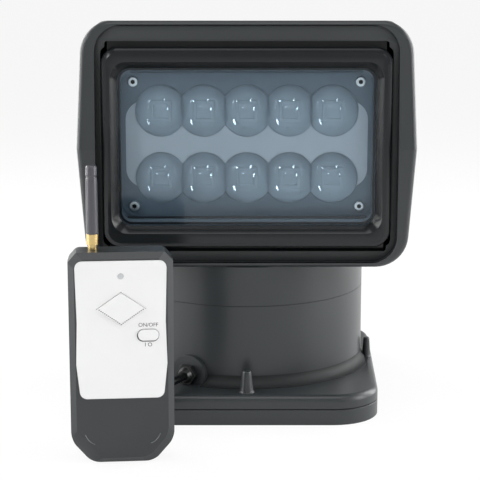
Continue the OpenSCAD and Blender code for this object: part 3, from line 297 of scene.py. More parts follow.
def moulding(node, slot, material, edge_mm, big_edges=(), smooth=30):
    """A copy of a CAD node with its loose triangles merged and its edges rounded, in its place.
    Each of big_edges is a radius and a test for edges that are rounded more. Flat faces are then
    shaded flat up to their rounded edges, except on a form that is smooth past soft_form."""
    same_point_mm = 0.002
    same_plane = math.radians(0.4)
    soft_form = 45
    deselect()
    source = frame["nodes"][node]
    source.select_set(True)
    bpy.context.view_layer.objects.active = source
    bpy.ops.object.duplicate()
    piece = bpy.context.object
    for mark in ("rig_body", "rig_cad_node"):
        del piece[mark]
    piece.parent = None
    bpy.ops.object.mode_set(mode="EDIT")
    bpy.ops.mesh.customdata_custom_splitnormals_clear()
    bpy.ops.mesh.select_all(action="SELECT")
    bpy.ops.mesh.remove_doubles(threshold=same_point_mm * MM)
    bpy.ops.mesh.dissolve_limited(angle_limit=same_plane)
    bpy.ops.object.mode_set(mode="OBJECT")
    for radius, test in big_edges:
        round_some(piece, test, radius, 6, clamp=True)
    round_edges(piece, edge_mm)
    smooth_off(piece, smooth)
    if smooth < soft_form:
        true_faces = piece.modifiers.new("true_faces", "WEIGHTED_NORMAL")
        true_faces.keep_sharp = True
        bpy.ops.object.modifier_apply(modifier="true_faces")
    body = next(body for body, nodes in bodies.items() if node in nodes)
    return keep(piece, node + "_finished", body, slot, material, node)


# Satin ABS: dull grey faces, and edges that go pale where they turn to the light
shell_plastic = moulded_plastic("satin_grey_abs", "#292d2f", "#2f3335", 0.34)
moulding("base_plate", "dark_shell", shell_plastic, 0.6)
moulding("base_cover", "dark_shell", shell_plastic, 0.35)

# Seal and mounting inserts
# A flat rubber gasket keeps water out between plate and cover. Turned brass inserts take the
# four mounting bolts from below.
# Black rubber: hardly any shine
seal_rubber = moulded_plastic("black_rubber", "#0e0f10", "#151617", 0.7)
dress("base_seal", seal_rubber)


def metal(name, dark, light, rough, streak=(1, 1, 1), grain_mm=0.6):
    """Bare metal: fine tool or brush marks that stretch along one axis and vary its gloss."""
    marks_depth_mm = 0.03
    gloss_swing = 0.08
    material, tree = new_material(name)
    place = add_node(tree, "ShaderNodeTexCoord")
    turned = add_node(tree, "ShaderNodeMapping", {"Scale": streak}, [("Vector", place, "Object")])
    marks = add_node(tree, "ShaderNodeTexNoise", {"Scale": 1 / (grain_mm * MM), "Detail": 3.0},
                     [("Vector", turned, 0)])
    colour = add_node(tree, "ShaderNodeMix", data_type="RGBA", links=[("Factor", marks, "Fac")],
                      values={mix_dark: linear(dark), mix_light: linear(light)})
    gloss = add_node(tree, "ShaderNodeMapRange", links=[("Value", marks, "Fac")],
                     values={"To Min": rough - gloss_swing, "To Max": rough + gloss_swing})
    relief = add_node(tree, "ShaderNodeBump", {"Strength": 0.06, "Distance": marks_depth_mm * MM},
                      [("Height", marks, "Fac")])
    surface = add_node(tree, "ShaderNodeBsdfPrincipled", {"Metallic": 1.0},
                       [("Base Color", colour, mix_colour), ("Roughness", gloss, 0), ("Normal", relief, 0)])
    add_node(tree, "ShaderNodeOutputMaterial", links=[("Surface", surface, 0)])
    return material


# Turned brass: warm yellow, with fine rings from the tool
brass = metal("turned_brass", "#c8a868", "#e2cc96", 0.24, (0.2, 0.2, 4))
dress("mount_inserts", brass)

# Screws inside
# Stainless pan-head screws hold the mouldings together from below and inside. Those that a gap
# in the head lets the eye reach are blackened.
# Stainless steel is pale and bright, black oxide on steel dark with a dull sheen
stainless = metal("stainless_steel", "#a9acae", "#c6c8ca", 0.25)
for node in ("cover_screws", "column_screws", "deck_screws", "shell_screws", "sink_screws",
             "bezel_screws"):
    dress(node, stainless)
black_oxide_and_socket_shade = metal("black_oxide_steel_and_painted_socket_shade", "#1c1d1f", "#26282a", 0.45)
for node in ("turret_screws", "clamp_screws", "spindle_clip", "trunnions"):
    dress(node, black_oxide_and_socket_shade)

# Column and cable gland
# A thin-walled round column in the same ABS stands on the cover, with a small flared ring at its
# foot. A black nylon gland seals the lead where it passes through a flat pad low on the column.
moulding("column", "dark_shell", shell_plastic, 0.1)
# A rougher grain than the column's dulls the ring's shine, and its darker colour is painted shade at the
# column's foot. Nylon is black with a soft shine.
coarse_plastic_painted_shade = moulded_plastic("coarse_grey_abs_painted_shade", "#191c1d", "#1f2223", 0.6, 0.9, 0.05, 1.4)
moulding("foot_ring", "dark_shell", coarse_plastic_painted_shade, 0.15)
gland_nylon = moulded_plastic("black_nylon", "#0f1011", "#161718", 0.3)
moulding("cable_gland", "black_plastic", gland_nylon, 0.3)
dress("gland_nut", gland_nylon)

# Power lead
# A round two-core lead in glossy black PVC. It leaves the gland, drops over the edge of the
# base, runs round behind the light and is wound there into a small coil that a strap holds.
lead_d = 5
gland_tip = 81.5
gland_z = 23.6
joint_gap = 0.05
straight_out = 8
gland_turn = math.radians(242.5)
gland_way = Vector((math.cos(gland_turn), math.sin(gland_turn), 0))
lead_start = (gland_tip + joint_gap) * gland_way + Vector((0, 0, gland_z))
lead_route = [lead_start, lead_start + straight_out * gland_way] + [Vector(p) for p in (
    (-46, -86, 23.2), (-52.5, -91, 22.2), (-60.5, -94, 20.4), (-69, -94.5, 17.8), (-77, -92.5, 14.9),
    (-84, -88, 11.8), (-89.5, -82, 8.9), (-93, -74.5, 6.4), (-94, -66.5, 4.5), (-94, -58, 3.3),
    (-94, -48, 2.7), (-94, -36, 2.6), (-94, -20, 2.6), (-94, -3, 2.6), (-94, 14, 2.6), (-94, 30, 2.6),
    (-94, 46, 2.6), (-92, 61.5, 2.6), (-86, 76, 2.6), (-76.5, 88.5, 2.6), (-64, 98, 2.6),
    (-49.5, 104, 2.6), (-34, 106, 2.6), (-17, 106, 2.6))]
coil_y = 140
coil_radii = (34.1, 29, 23.9, 23.9, 29, 34.1)
coil_levels = (2.6, 2.6, 2.6, 7.7, 7.7, 7.7)
steps_per_turn = 24
jog_from = 18
last_quarter = 7
for turn, (radius, level) in enumerate(zip(coil_radii, coil_levels)):
    last = turn == len(coil_radii) - 1
    next_radius = radius if last else coil_radii[turn + 1]
    next_level = level if last else coil_levels[turn + 1]
    for step in range(steps_per_turn + (last_quarter if last else 0)):
        jog = 0 if last else max(0, step - jog_from) / (steps_per_turn - jog_from)
        ease = jog * jog * (3 - 2 * jog)
        r = radius + (next_radius - radius) * ease
        a = math.radians(-90 + 360 * step / steps_per_turn)
        lead_route.append(Vector((r * math.cos(a), coil_y + r * math.sin(a),
                                  level + (next_level - level) * ease)))
plug_r = 10.6
plug_back = -10
plug_y = 200
lead_route += [Vector(p) for p in (
    (34, 151, 7.5), (34, 162, 6.8), (33, 173, 6.3), (29, 183.5, 6.5), (22, 192, 7.5), (12.5, 197.8, 9),
    (1.5, 200, 10.2), (plug_back + joint_gap, plug_y, plug_r))]


def smooth_path(points, n):
    """Catmull-Rom curve through the points, n samples to each step."""
    out = []
    for i in range(len(points) - 1):
        a = points[max(i - 1, 0)]
        b = points[i]
        c = points[i + 1]
        d = points[min(i + 2, len(points) - 1)]
        for k in range(n):
            t = k / n
            out.append(0.5 * (2 * b + (c - a) * t + (2 * a - 5 * b + 4 * c - d) * t ** 2
                              + (3 * b - a - 3 * c + d) * t ** 3))
    return out + [points[-1]]


def tube(name, points, radius_mm, material):
    """A round rod along a line of points in metres, as a curve object."""
    curve = bpy.data.curves.new(name, "CURVE")
    curve.dimensions = "3D"
    spline = curve.splines.new("POLY")
    spline.points.add(len(points) - 1)
    for point, place in zip(spline.points, points):
        point.co = (*place, 1)
    curve.bevel_depth = radius_mm * MM
    curve.bevel_resolution = 5
    curve.use_fill_caps = True
    rod = bpy.data.objects.new(name, curve)
    scene.collection.objects.link(rod)
    curve.materials.append(material)
    return rod


lead_points = [p * MM for p in smooth_path(lead_route, 4)]
lead_length = sum((b - a).length for a, b in zip(lead_points, lead_points[1:]))
# Extruded PVC: black, with a wet-looking gloss
lead_pvc = moulded_plastic("black_pvc", "#08090a", "#0e0f10", 0.2, 2.0, 0.03)
lead = tube("power_lead_cord", lead_points, lead_d / 2, lead_pvc)
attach(lead, "base")
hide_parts("power_lead", "lead_coil", "lead_tail")

# Coil strap
# A hook-and-loop strap in black nylon webbing closes round the coil where it lies farthest back,
# with its free end pressed down on top.
strap_w = 9
strap_t = 0.6
strap_half = Vector((8.1, 5.25))
strap_middle = Vector((0, coil_y + coil_radii[1], strap_half.y + joint_gap))
strap_squareness = 0.45
strap_end_l = 11
strap_end_corner = 2
strap_end_middle = (0, strap_middle.y + 1, 10.9)


def block(size, middle=(0, 0, 0)):
    """A box to start a piece from, its size and middle in millimetres."""
    deselect()
    bpy.ops.mesh.primitive_cube_add(size=1, location=[c * MM for c in middle],
                                    scale=[side * MM for side in size])
    bpy.ops.object.transform_apply(location=True, rotation=True, scale=True)
    return bpy.context.object


def join(pieces):
    """Joins pieces to the first of them."""
    deselect()
    for piece in pieces:
        piece.select_set(True)
    bpy.context.view_layer.objects.active = pieces[0]
    bpy.ops.object.join()
    return pieces[0]


# Woven nylon: coarse threads that scatter the light, so it looks dull
webbing = moulded_plastic("nylon_webbing", "#141517", "#202224", 0.75, 0.5, 0.4)
deselect()
bpy.ops.mesh.primitive_cylinder_add(vertices=48, radius=1, depth=strap_w * MM, end_fill_type="NOTHING",
                                    rotation=(0, math.radians(90), 0))
bpy.ops.object.transform_apply(rotation=True)
strap = bpy.context.object
for point in strap.data.vertices:
    y = math.copysign(abs(point.co.y) ** strap_squareness, point.co.y) * strap_half.x
    z = math.copysign(abs(point.co.z) ** strap_squareness, point.co.z) * strap_half.y
    point.co = Vector((point.co.x, (y + strap_middle.y) * MM, (z + strap_middle.z) * MM))
wall = strap.modifiers.new("wall", "SOLIDIFY")
wall.thickness = strap_t * MM
wall.offset = -1
bpy.ops.object.modifier_apply(modifier="wall")
strap_end = block((strap_w, strap_end_l, strap_t), strap_end_middle)
round_some(strap_end, lambda middle, sides: all(abs(side.z) < 0.5 for side in sides),
           strap_end_corner, 4)
join((strap, strap_end))
round_edges(strap, 0.15, 2)
smooth_off(strap)
keep(strap, "coil_strap", "base", "black_plastic", webbing)

# Accessory plug
# A moulded plug for a vehicle socket, with a ribbed grip, a turned nose contact and two
# sprung side contacts.
plug_body = moulding("power_plug", "black_plastic", gland_nylon, 0.4)
plug_front = -72


def joined_copies(master, name, places):
    """Copies a master piece to each place, a matrix in metres, and joins the copies."""
    copies = []
    for place in places:
        copy = master.copy()
        copy.data = master.data.copy()
        copy.data.transform(place)
        scene.collection.objects.link(copy)
        copies.append(copy)
    joined = join(copies)
    bpy.data.objects.remove(master)
    joined.name = name
    return joined


def round_the_plug(from_front, angles):
    """Places turned round the plug's axis, at a distance behind its front."""
    middle = Vector((plug_front + from_front, plug_y, plug_r)) * MM
    return [Matrix.Translation(middle) @ Matrix.Rotation(math.radians(a), 4, "X") for a in angles]


rib_size = (17, 1.6, 0.9)
rib = block(rib_size, (0, 0, plug_r))
round_edges(rib, 0.35)
smooth_off(rib)
ribs = joined_copies(rib, "plug_ribs", round_the_plug(34, range(-144, 145, 24)))
keep(ribs, "plug_ribs", "base", "black_plastic", gland_nylon)

nose_r = 4.55
nose_l = 8
nose_x = plug_front - 4.5
nose_step = 1.2
nose_tip = 0.7
deselect()
bpy.ops.mesh.primitive_cylinder_add(vertices=32, radius=nose_r * MM, depth=nose_l * MM,
                                    location=(nose_x * MM, plug_y * MM, plug_r * MM),
                                    rotation=(0, math.radians(-90), 0))
bpy.ops.object.transform_apply(location=True, rotation=True, scale=True)
nose = bpy.context.object
pick(nose, "FACE", lambda middle, normal: normal.x < -0.9)
bpy.ops.mesh.inset(thickness=nose_step * MM)
bpy.ops.transform.translate(value=(-nose_tip * MM, 0, 0))
bpy.ops.object.mode_set(mode="OBJECT")
round_edges(nose, 0.3)
smooth_off(nose)
# Nickel plate: a warm bright grey
nickel = metal("nickel_plate", "#b4b2aa", "#cfcdc6", 0.2)
keep(nose, "plug_nose", "base", "steel", nickel)

spring_l = 14
spring_seat = 9.05
spring_bow = 1.1
spring = block((spring_l, 4, 0.6))
bow = spring.modifiers.new("lengthwise", "SUBSURF")
bow.subdivision_type = "SIMPLE"
bow.levels = 4
bow.render_levels = 4
bpy.context.view_layer.objects.active = spring
bpy.ops.object.modifier_apply(modifier="lengthwise")
for point in spring.data.vertices:
    point.co.z += (spring_seat + spring_bow * math.cos(point.co.x / MM / spring_l * math.pi)) * MM
smooth_off(spring)
springs = joined_copies(spring, "plug_springs", round_the_plug(12, (90, -90)))
keep(springs, "plug_springs", "base", "steel", nickel)
tuple(lead_points[0])

# Pan drive
# An acetal pinion on a small geared motor drives the ring gear on the spindle. A deck with a
# control board below it carries the motor, and a slip washer carries the neck.
# Glass-filled nylon is matt grey, natural acetal a waxy ivory, a plated can streaked along its
# length, and solder mask a glossy green lacquer
deck_plastic = moulded_plastic("glass_filled_nylon", "#3c4042", "#484c4e", 0.55)
dress("gear_deck", deck_plastic)
motor_steel = metal("plated_motor_can", "#8a8d90", "#a2a5a8", 0.3, (1, 1, 0.1))
dress("pan_motor", motor_steel)
acetal = moulded_plastic("natural_acetal", "#dcd8c8", "#e8e4d6", 0.4)
for node in ("pan_pinion", "pan_gear"):
    dress(node, acetal)
black_acetal = moulded_plastic("black_acetal", "#141516", "#1b1c1d", 0.4)
dress("thrust_washer", black_acetal)
circuit = moulded_plastic("green_solder_mask", "#123f2a", "#1d5a3c", 0.3)
dress("control_board", circuit)

# Neck
# The turning part of the column, with the same outer face, moulded in one with its hollow spindle.
# A thin dust seal lies in the gap between the two, just behind their faces.
moulding("neck", "dark_shell", shell_plastic, 0.1)
column_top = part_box("column")[1].z / MM
seal_r = 72.18
seal_h = 0.26
seal_w = 2
seal_z = column_top + 0.15
deselect()
bpy.ops.mesh.primitive_cylinder_add(vertices=160, radius=seal_r * MM, depth=seal_h * MM,
                                    end_fill_type="NOTHING", location=(0, 0, seal_z * MM))
bpy.ops.object.transform_apply(location=True)
dust_seal = bpy.context.object
ring = dust_seal.modifiers.new("ring", "SOLIDIFY")
ring.thickness = seal_w * MM
ring.offset = -1
bpy.ops.object.modifier_apply(modifier="ring")
smooth_off(dust_seal)
# The seal takes the ring's darker plastic, painted shade in the gap.
keep(dust_seal, "dust_seal", "base", "rubber", coarse_plastic_painted_shade)

# Head shells
# Two halves of the head meet on a line at the height of the tilt axis. Both are moulded in the
# same ABS, with a plain front lip round the lamp whose outer edge is well rounded.
head_middle_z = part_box("upper_shell")[0].z / MM
tilt_axis_y = -40
lip_round = 3.2


def front_outer_edge(middle, sides):
    """True on the sharp outer edge of the head's front lip."""
    outward = Vector((middle.x, 0, middle.z - head_middle_z)).normalized()
    if middle.y > tilt_axis_y or len(sides) != 2:
        return False
    front = min(sides, key=lambda normal: normal.y)
    flank = max(sides, key=lambda normal: normal.y)
    return front.y < -0.8 and abs(flank.y) < 0.4 and flank.dot(outward) > 0.3


for node in ("lower_shell", "upper_shell"):
    moulding(node, "dark_shell", shell_plastic, 0.35, [(lip_round, front_outer_edge)])

# Head apron
# A dark rubber apron is clamped behind the front lip and reaches in close to the lamp all round, so
# that spray stays out of the head.
bezel_low, bezel_high = (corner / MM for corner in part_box("bezel"))
case_low, case_high = (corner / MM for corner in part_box("lamp_case"))
lamp_middle_z = (bezel_low.z + bezel_high.z) / 2
drum_r = (case_high.z - case_low.z) / 2
apron_y = -66.9
apron_t = 1
apron_corner = 14
apron_half_w = bezel_high.x + 4.7
apron_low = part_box("lower_shell")[0].z / MM + 3
apron_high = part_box("upper_shell")[1].z / MM - 2.7
apron_reach = apron_y + apron_t / 2 - tilt_axis_y
bezel_gap = 0.4
drum_gap = 0.8
case_gap = 1
mouth_w = bezel_high.x + bezel_gap
mouth_h = math.sqrt((drum_r + drum_gap) ** 2 - apron_reach ** 2)


def rounded_plate(width, height, thickness, corner, middle):
    """A plate that faces the front, with rounded corners, sizes in millimetres."""
    plate = block((width, thickness, height), middle)
    round_some(plate, lambda place, sides: all(abs(side.y) < 0.5 for side in sides), corner, 8)
    return plate


def combine(piece, tool, operation):
    """Adds a tool's shape to a piece, or cuts it out of it, and removes the tool."""
    change = piece.modifiers.new("change", "BOOLEAN")
    change.operation = operation
    change.solver = "EXACT"
    change.use_self = operation == "UNION"
    change.object = tool
    bpy.context.view_layer.objects.active = piece
    bpy.ops.object.modifier_apply(modifier="change")
    bpy.data.objects.remove(tool)


apron = rounded_plate(2 * apron_half_w, apron_high - apron_low, apron_t, apron_corner,
                      (0, apron_y, (apron_high + apron_low) / 2))
for half_w, half_h, corner in ((mouth_w, bezel_high.z - lamp_middle_z, 4),
                               (case_high.x + case_gap, mouth_h, 1.5)):
    mouth = rounded_plate(2 * half_w, 2 * half_h, 3 * apron_t, corner, (0, apron_y, lamp_middle_z))
    combine(apron, mouth, "DIFFERENCE")
round_edges(apron, 0.2, 2, 60)
smooth_off(apron)
# EPDM rubber: dark grey and matt, with a fine skin
apron_rubber = moulded_plastic("dark_epdm_rubber", "#282c2d", "#303435", 0.6, 0.8, 0.1)
keep(apron, "head_apron", "turret", "rubber", apron_rubber)

# Tilt drive
# A second geared motor lies on a stand in the lower shell and turns the lamp by a toothed sector.
# Its bushes, pinion, sector and clamp are moulded in black, so that nothing shows in the gap beside the
# lamp, and the motor has a plated can.
for node in ("tilt_bushes", "tilt_pinion", "tilt_sector", "motor_clamp"):
    dress(node, black_acetal)
dress("tilt_motor", motor_steel)

# Lamp case and bezel
# Die-cast aluminium with a smooth dark paint. The bezel's face slopes in to the window and its
# edges catch the light.
# Paint on a smooth casting: darker than the ABS, with a tighter shine
lamp_paint = moulded_plastic("satin_dark_paint", "#15181a", "#1b1e20", 0.17, 1.5, 0.01, 1.42)
moulding("lamp_case", "lamp_metal", lamp_paint, 0.4)


face_depth = 0.6
face_inner_half = Vector((76, 52))
rim_round = 1.0


def blunt(sides):
    """True for an edge whose two faces meet at a blunt angle, as a chamfer's do."""
    return len(sides) == 2 and 0.3 < sides[0].angle(sides[1]) < 1.2


def bezel_outer_edge(middle, sides):
    """True where the bezel's front face meets the chamfer round its outside."""
    beside = abs(middle.x) >= face_inner_half.x
    above_or_below = abs(middle.z - lamp_middle_z) >= face_inner_half.y
    return middle.y <= bezel_low.y + face_depth and (beside or above_or_below) and blunt(sides)


moulding("bezel", "lamp_metal", lamp_paint, 0.4, [(rim_round, bezel_outer_edge)], smooth=60)
dress("window_seal", seal_rubber)

# Heat sink and LED board
# A cast aluminium sink with straight fins cools the board with ten square emitters. Raw castings
# are pale and grainy, and unlit emitters look grey-blue under their clear silicone.
cast_aluminium = metal("cast_aluminium", "#989b9e", "#b4b7ba", 0.45)
dress("heat_sink", cast_aluminium)
dress("led_board", cast_aluminium)
silicone = moulded_plastic("clear_silicone_over_phosphor", "#8b969c", "#98a3a8", 0.25)
dress("leds", silicone)

# Optic tray
# A grey-blue moulded tray behind the glass. The pale plate that carries the lenses lies on its
# floor, cut round the two rows of lenses and left full width between them.
# The coat is satin, the carrier a paler plastic, and the seats are frosted to spread the light
tray_coat = moulded_plastic("grey_blue_tray", "#768490", "#818f9b", 0.35)
dress("optic_tray", tray_coat)
lens_low, lens_high = (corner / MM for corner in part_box("lenses"))
lens_r = 14.9
lens_pitch = 25
lens_count = 5
tray_floor_y = lens_high.y
row_half = (lens_high.z - lens_low.z) / 2 - lens_r
tilt_z = (lens_high.z + lens_low.z) / 2
facing_front = Matrix.Rotation(math.radians(90), 4, "X")
lens_places = [
    Matrix.Translation(Vector((i * lens_pitch, tray_floor_y, tilt_z + row * row_half)) * MM)
    @ facing_front for row in (-1, 1) for i in range(-(lens_count // 2), lens_count // 2 + 1)]
carrier_t = 0.5
carrier_half_w = 70.5
carrier_half_h = row_half + 6
carrier_corner = 11
carrier_rim_r = lens_r + 0.1
seat_t = 0.9
seat_r = lens_r - 0.3


def lens_disc(radius, thickness):
    """A flat disc that stands on z = 0."""
    deselect()
    bpy.ops.mesh.primitive_cylinder_add(vertices=64, radius=radius * MM, depth=thickness * MM,
                                        location=(0, 0, thickness / 2 * MM))
    bpy.ops.object.transform_apply(location=True)
    return bpy.context.object


def merge(piece, others):
    """Joins other pieces to a piece as one moulding with slightly rounded edges."""
    combine(piece, others, "UNION")
    round_edges(piece, 0.12, 2, 60)
    smooth_off(piece)


carrier = rounded_plate(2 * carrier_half_w, 2 * carrier_half_h, carrier_t, carrier_corner,
                        (0, tray_floor_y - carrier_t / 2, tilt_z))
merge(carrier, joined_copies(lens_disc(carrier_rim_r, carrier_t), "carrier_outline", lens_places))
carrier_white = moulded_plastic("pale_grey_carrier", "#d3dae1", "#dde3e9", 0.3)
keep(carrier, "lens_carrier", "lamp", "tray", carrier_white)
seats = joined_copies(lens_disc(seat_r, seat_t), "lens_seats", lens_places[:1])
merge(seats, joined_copies(lens_disc(seat_r, seat_t), "other_seats", lens_places[1:]))
seat_grey = moulded_plastic("frosted_lens_seat", "#ccd6de", "#d6dfe6", 0.25)
keep(seats, "lens_seats", "lamp", "lens", seat_grey)

# Emitter frames
# Under each lens a low square frame holds the emitter, with small bright facets moulded into the
# underside of the lens round it.
frame_side = 12.5
frame_wall = 2
frame_h = 1.7
frame_floor = 1.05
emitter_frame = block((frame_side, frame_side, frame_h), (0, 0, frame_h / 2))
pick(emitter_frame, "FACE", lambda middle, normal: normal.z > 0.9)
bpy.ops.mesh.inset(thickness=frame_wall * MM)
bpy.ops.mesh.extrude_region_move(TRANSFORM_OT_translate={"value": (0, 0, (frame_floor - frame_h) * MM)})
bpy.ops.object.mode_set(mode="OBJECT")
round_edges(emitter_frame, 0.25, 2)
smooth_off(emitter_frame)
# The frame is a smooth pale grey, and the facets are as bright as a mirror
frame_grey = moulded_plastic("grey_frame", "#ccd6de", "#d6dfe6", 0.2)
frames = joined_copies(emitter_frame, "emitter_frames", lens_places)
keep(frames, "emitter_frames", "lamp", "tray", frame_grey)

facet_z = 2.8
facet_t = 0.3
facet_faces = Vector((-0.347, 0.285, 0.893))
facet_lean = Vector((0, 0, 1)).rotation_difference(facet_faces).to_matrix().to_4x4()
# Each facet: its place on the seat, its length and width, and its turn in degrees
facet_plan = (
    (-7.1, -6.2, 3.6, 1.0, 22), (4.3, 1.5, 2.4, 0.8, 0), (2.4, 6.6, 1.8, 0.6, -15),
    (-5.7, 6.0, 1.4, 0.6, 40), (-1.5, -9.4, 0.9, 0.9, 0), (6.6, -8.7, 0.7, 0.7, 0),
    (-2.2, 2.6, 0.5, 0.5, 0))
facets = []
for x, y, length, width, turn in facet_plan:
    facet = lens_disc(0.5, facet_t)
    facet.data.transform(
        Matrix.Translation(Vector((x, y, facet_z)) * MM) @ facet_lean
        @ Matrix.Rotation(math.radians(turn), 4, "Z") @ Matrix.Diagonal((width, length, 1, 1)))
    facets.append(facet)
facet_group = join(facets)
smooth_off(facet_group)
bright_facet = metal("mirror_bright_facet", "#f6f8fa", "#fcfdfe", 0.22)
lens_facets = joined_copies(facet_group, "lens_facets", lens_places)
keep(lens_facets, "lens_facets", "lamp", "lens", bright_facet)


# Lenses and window glass
# Ten clear acrylic domes and a flat pane of toughened glass that looks faintly blue. Both let the
# light straight through and add a weak reflection.
def clear_sheet(name, tint, rough, ior):
    """Thin clear acrylic or glass: a tinted see-through body under a polished face."""
    material, tree = new_material(name)
    body = add_node(tree, "ShaderNodeBsdfTransparent", {"Color": linear(tint)})
    shine = add_node(tree, "ShaderNodeBsdfGlossy", {"Color": linear("#ffffff"), "Roughness": rough})
    facing = add_node(tree, "ShaderNodeFresnel", {"IOR": ior})
    mixed = add_node(tree, "ShaderNodeMixShader", links=[(0, facing, 0), (1, body, 0), (2, shine, 0)])
    add_node(tree, "ShaderNodeOutputMaterial", links=[("Surface", mixed, 0)])
    return material


lens_acrylic = clear_sheet("clear_lens_acrylic", "#f2f5f7", 0.03, 1.35)
moulding("lenses", "lens", lens_acrylic, 0.2)
window_glass = clear_sheet("clear_window_glass", "#f3f8fb", 0.03, 1.3)
dress("glass", window_glass)

# Window border
# A thin navy-black band lies just inside the back of the glass round its edge, where the seal lies, with a
# second line along the bottom. Both are painted shade at the window's edges.
bezel_rim = Vector((9, 12.3))
window_w = bezel_high.x - bezel_low.x - 2 * bezel_rim.x
window_h = bezel_high.z - bezel_low.z - 2 * bezel_rim.y
window_corner_r = 7.5
border_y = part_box("glass")[1].y / MM - 0.2
border_w = 1.3
shade_band_t = 0.1
line_w = 1.1
line_l = window_w - 9
line_z = 4.2 - window_h / 2
deselect()
bpy.ops.mesh.primitive_plane_add(size=1)
border = bpy.context.object
border.data.transform(Matrix.Diagonal((window_w * MM, window_h * MM, 1, 1)))
pick(border, "FACE", lambda middle, normal: True)
bpy.ops.mesh.bevel(offset=window_corner_r * MM, segments=8, affect="VERTICES")
bpy.ops.mesh.select_all(action="SELECT")
bpy.ops.mesh.inset(thickness=border_w * MM)
bpy.ops.mesh.delete(type="FACE")
bpy.ops.object.mode_set(mode="OBJECT")
layer = border.modifiers.new("shade_band", "SOLIDIFY")
layer.thickness = shade_band_t * MM
bpy.ops.object.modifier_apply(modifier="shade_band")
join((border, block((line_l, line_w, shade_band_t), (0, line_z, 0))))
border.data.transform(Matrix.Translation(Vector((0, border_y, tilt_z)) * MM) @ facing_front)
smooth_off(border)
# Painted shade behind the glass: almost black, with a blue cast
border_painted_shade = moulded_plastic("navy_border_painted_shade", "#101a22", "#16212a", 0.3)
keep(border, "window_border_painted_shade", "lamp", "black_plastic", border_painted_shade)


# Tray screws
# Four plated pan-head screws with a hexagon socket hold the tray through the board to the sink.
# Bright plating reflects the room, and the faces inside the sockets take the blackened steel as painted
# shade.
def socket_screw(head_r, head_h, socket_r, shank_r, shank_l):
    """A pan-head screw with its head standing on z = 0 and its shank below. Its rounding and its
    socket's place are shares of the head's height."""
    rounding = 0.45
    socket_middle = 0.8
    deselect()
    bpy.ops.mesh.primitive_cylinder_add(vertices=40, radius=head_r * MM, depth=head_h * MM,
                                        location=(0, 0, head_h / 2 * MM))
    bpy.ops.object.transform_apply(location=True)
    screw = bpy.context.object
    round_some(screw, lambda middle, sides: middle.z > head_h - 0.01, rounding * head_h, 4)
    pick(screw, "FACE", lambda middle, normal: normal.z < -0.9 and middle.z < 0.01)
    bpy.ops.mesh.inset(thickness=(head_r - shank_r) * MM)
    bpy.ops.mesh.extrude_region_move(TRANSFORM_OT_translate={"value": (0, 0, -shank_l * MM)})
    bpy.ops.object.mode_set(mode="OBJECT")
    deselect()
    bpy.ops.mesh.primitive_cylinder_add(vertices=6, radius=socket_r * MM, depth=head_h * MM,
                                        location=(0, 0, socket_middle * head_h * MM))
    combine(screw, bpy.context.object, "DIFFERENCE")
    smooth_off(screw)
    return screw


screw_low, screw_high = (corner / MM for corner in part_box("tray_screws"))
tray_head_r = 3.2
tray_head_h = tray_floor_y - screw_low.y
tray_socket_r = 1.4
tray_shank_r = 1.6
tray_screw = socket_screw(tray_head_r, tray_head_h, tray_socket_r, tray_shank_r,
                          screw_high.y - tray_floor_y)
tray_screws = joined_copies(
    tray_screw, "tray_screws_finished",
    [Matrix.Translation(Vector((x, tray_floor_y, z)) * MM) @ facing_front
     for x in (screw_low.x + tray_head_r, screw_high.x - tray_head_r)
     for z in (screw_low.z + tray_head_r, screw_high.z - tray_head_r)])
chrome = metal("bright_plated_steel", "#e4e5e5", "#f2f3f3", 0.3)
keep(tray_screws, "tray_screws_finished", "lamp", "steel", chrome, "tray_screws")
# The socket faces take the dark steel: painted shade in the recess.
tray_screws.data.materials.append(black_oxide_and_socket_shade)
for face in tray_screws.data.polygons:
    middle = face.center / MM
    beside = Vector((abs(middle.x) - screw_high.x + tray_head_r,
                     abs(middle.z - tilt_z) - screw_high.z + tilt_z + tray_head_r))
    if beside.length < tray_socket_r + 0.1 and middle.y > screw_low.y + 0.2:
        face.material_index = 1

# Handset shells
# Two ABS half shells meet at the middle of the handset's thickness. Two low curved ribs near the
# lower corners of the front give the hand a hold.
# The same satin ABS as the light's
handset_abs = moulded_plastic("handset_abs", "#282b2d", "#2f3335", 0.36)


def outline_corner(low, high):
    """A test for the corner edges of the handset's outline between two heights."""
    def test(middle, sides):
        return low < middle.z < high and blunt(sides) and abs(sides[0].y - sides[1].y) < 0.2
    return test


# Each corner radius, with the heights between which its edges lie
hand_corners = [(4, outline_corner(-1, 40)), (1.5, outline_corner(100, 120))]
moulding("handset_front", "handset_shell", handset_abs, 0.5, hand_corners)
moulding("handset_back", "handset_shell", handset_abs, 0.5, hand_corners)
moulding("battery_door", "handset_shell", handset_abs, 0.3)
hand_middle = Vector((-67.6, -146, 0))
hand_turn = math.radians(5)
hand_place = Matrix.Translation(hand_middle * MM) @ Matrix.Rotation(hand_turn, 4, "Z")
hand_face = -11
hand_h = 115.5
grip_r = 8
grip_x = 12.3
grip_z = 18.6
grip_arc = [math.radians(a) for a in range(195, 252, 4)]
rib_lines = []
for side in (-1, 1):
    arc = [Vector((side * (grip_x - grip_r * math.cos(a)), hand_face + 0.02,
                   grip_z + grip_r * math.sin(a))) for a in grip_arc]
    rib_lines.append([hand_place @ (point * MM) for point in arc])
# The ribs are paler and glossier than the shell: the paler colour is a painted highlight along their
# crests.
grip_rib_painted_highlight = moulded_plastic("grip_rib_painted_highlight_abs", "#5c6062", "#676b6d", 0.2)
grip_ribs = [tube("grip_rib", line, 0.25, grip_rib_painted_highlight) for line in rib_lines]
deselect()
for rib in grip_ribs:
    rib.select_set(True)
bpy.context.view_layer.objects.active = grip_ribs[0]
bpy.ops.object.convert(target="MESH")
join(grip_ribs)
smooth_off(grip_ribs[0], 60)
keep(grip_ribs[0], "grip_ribs", "handset", "handset_shell", grip_rib_painted_highlight)

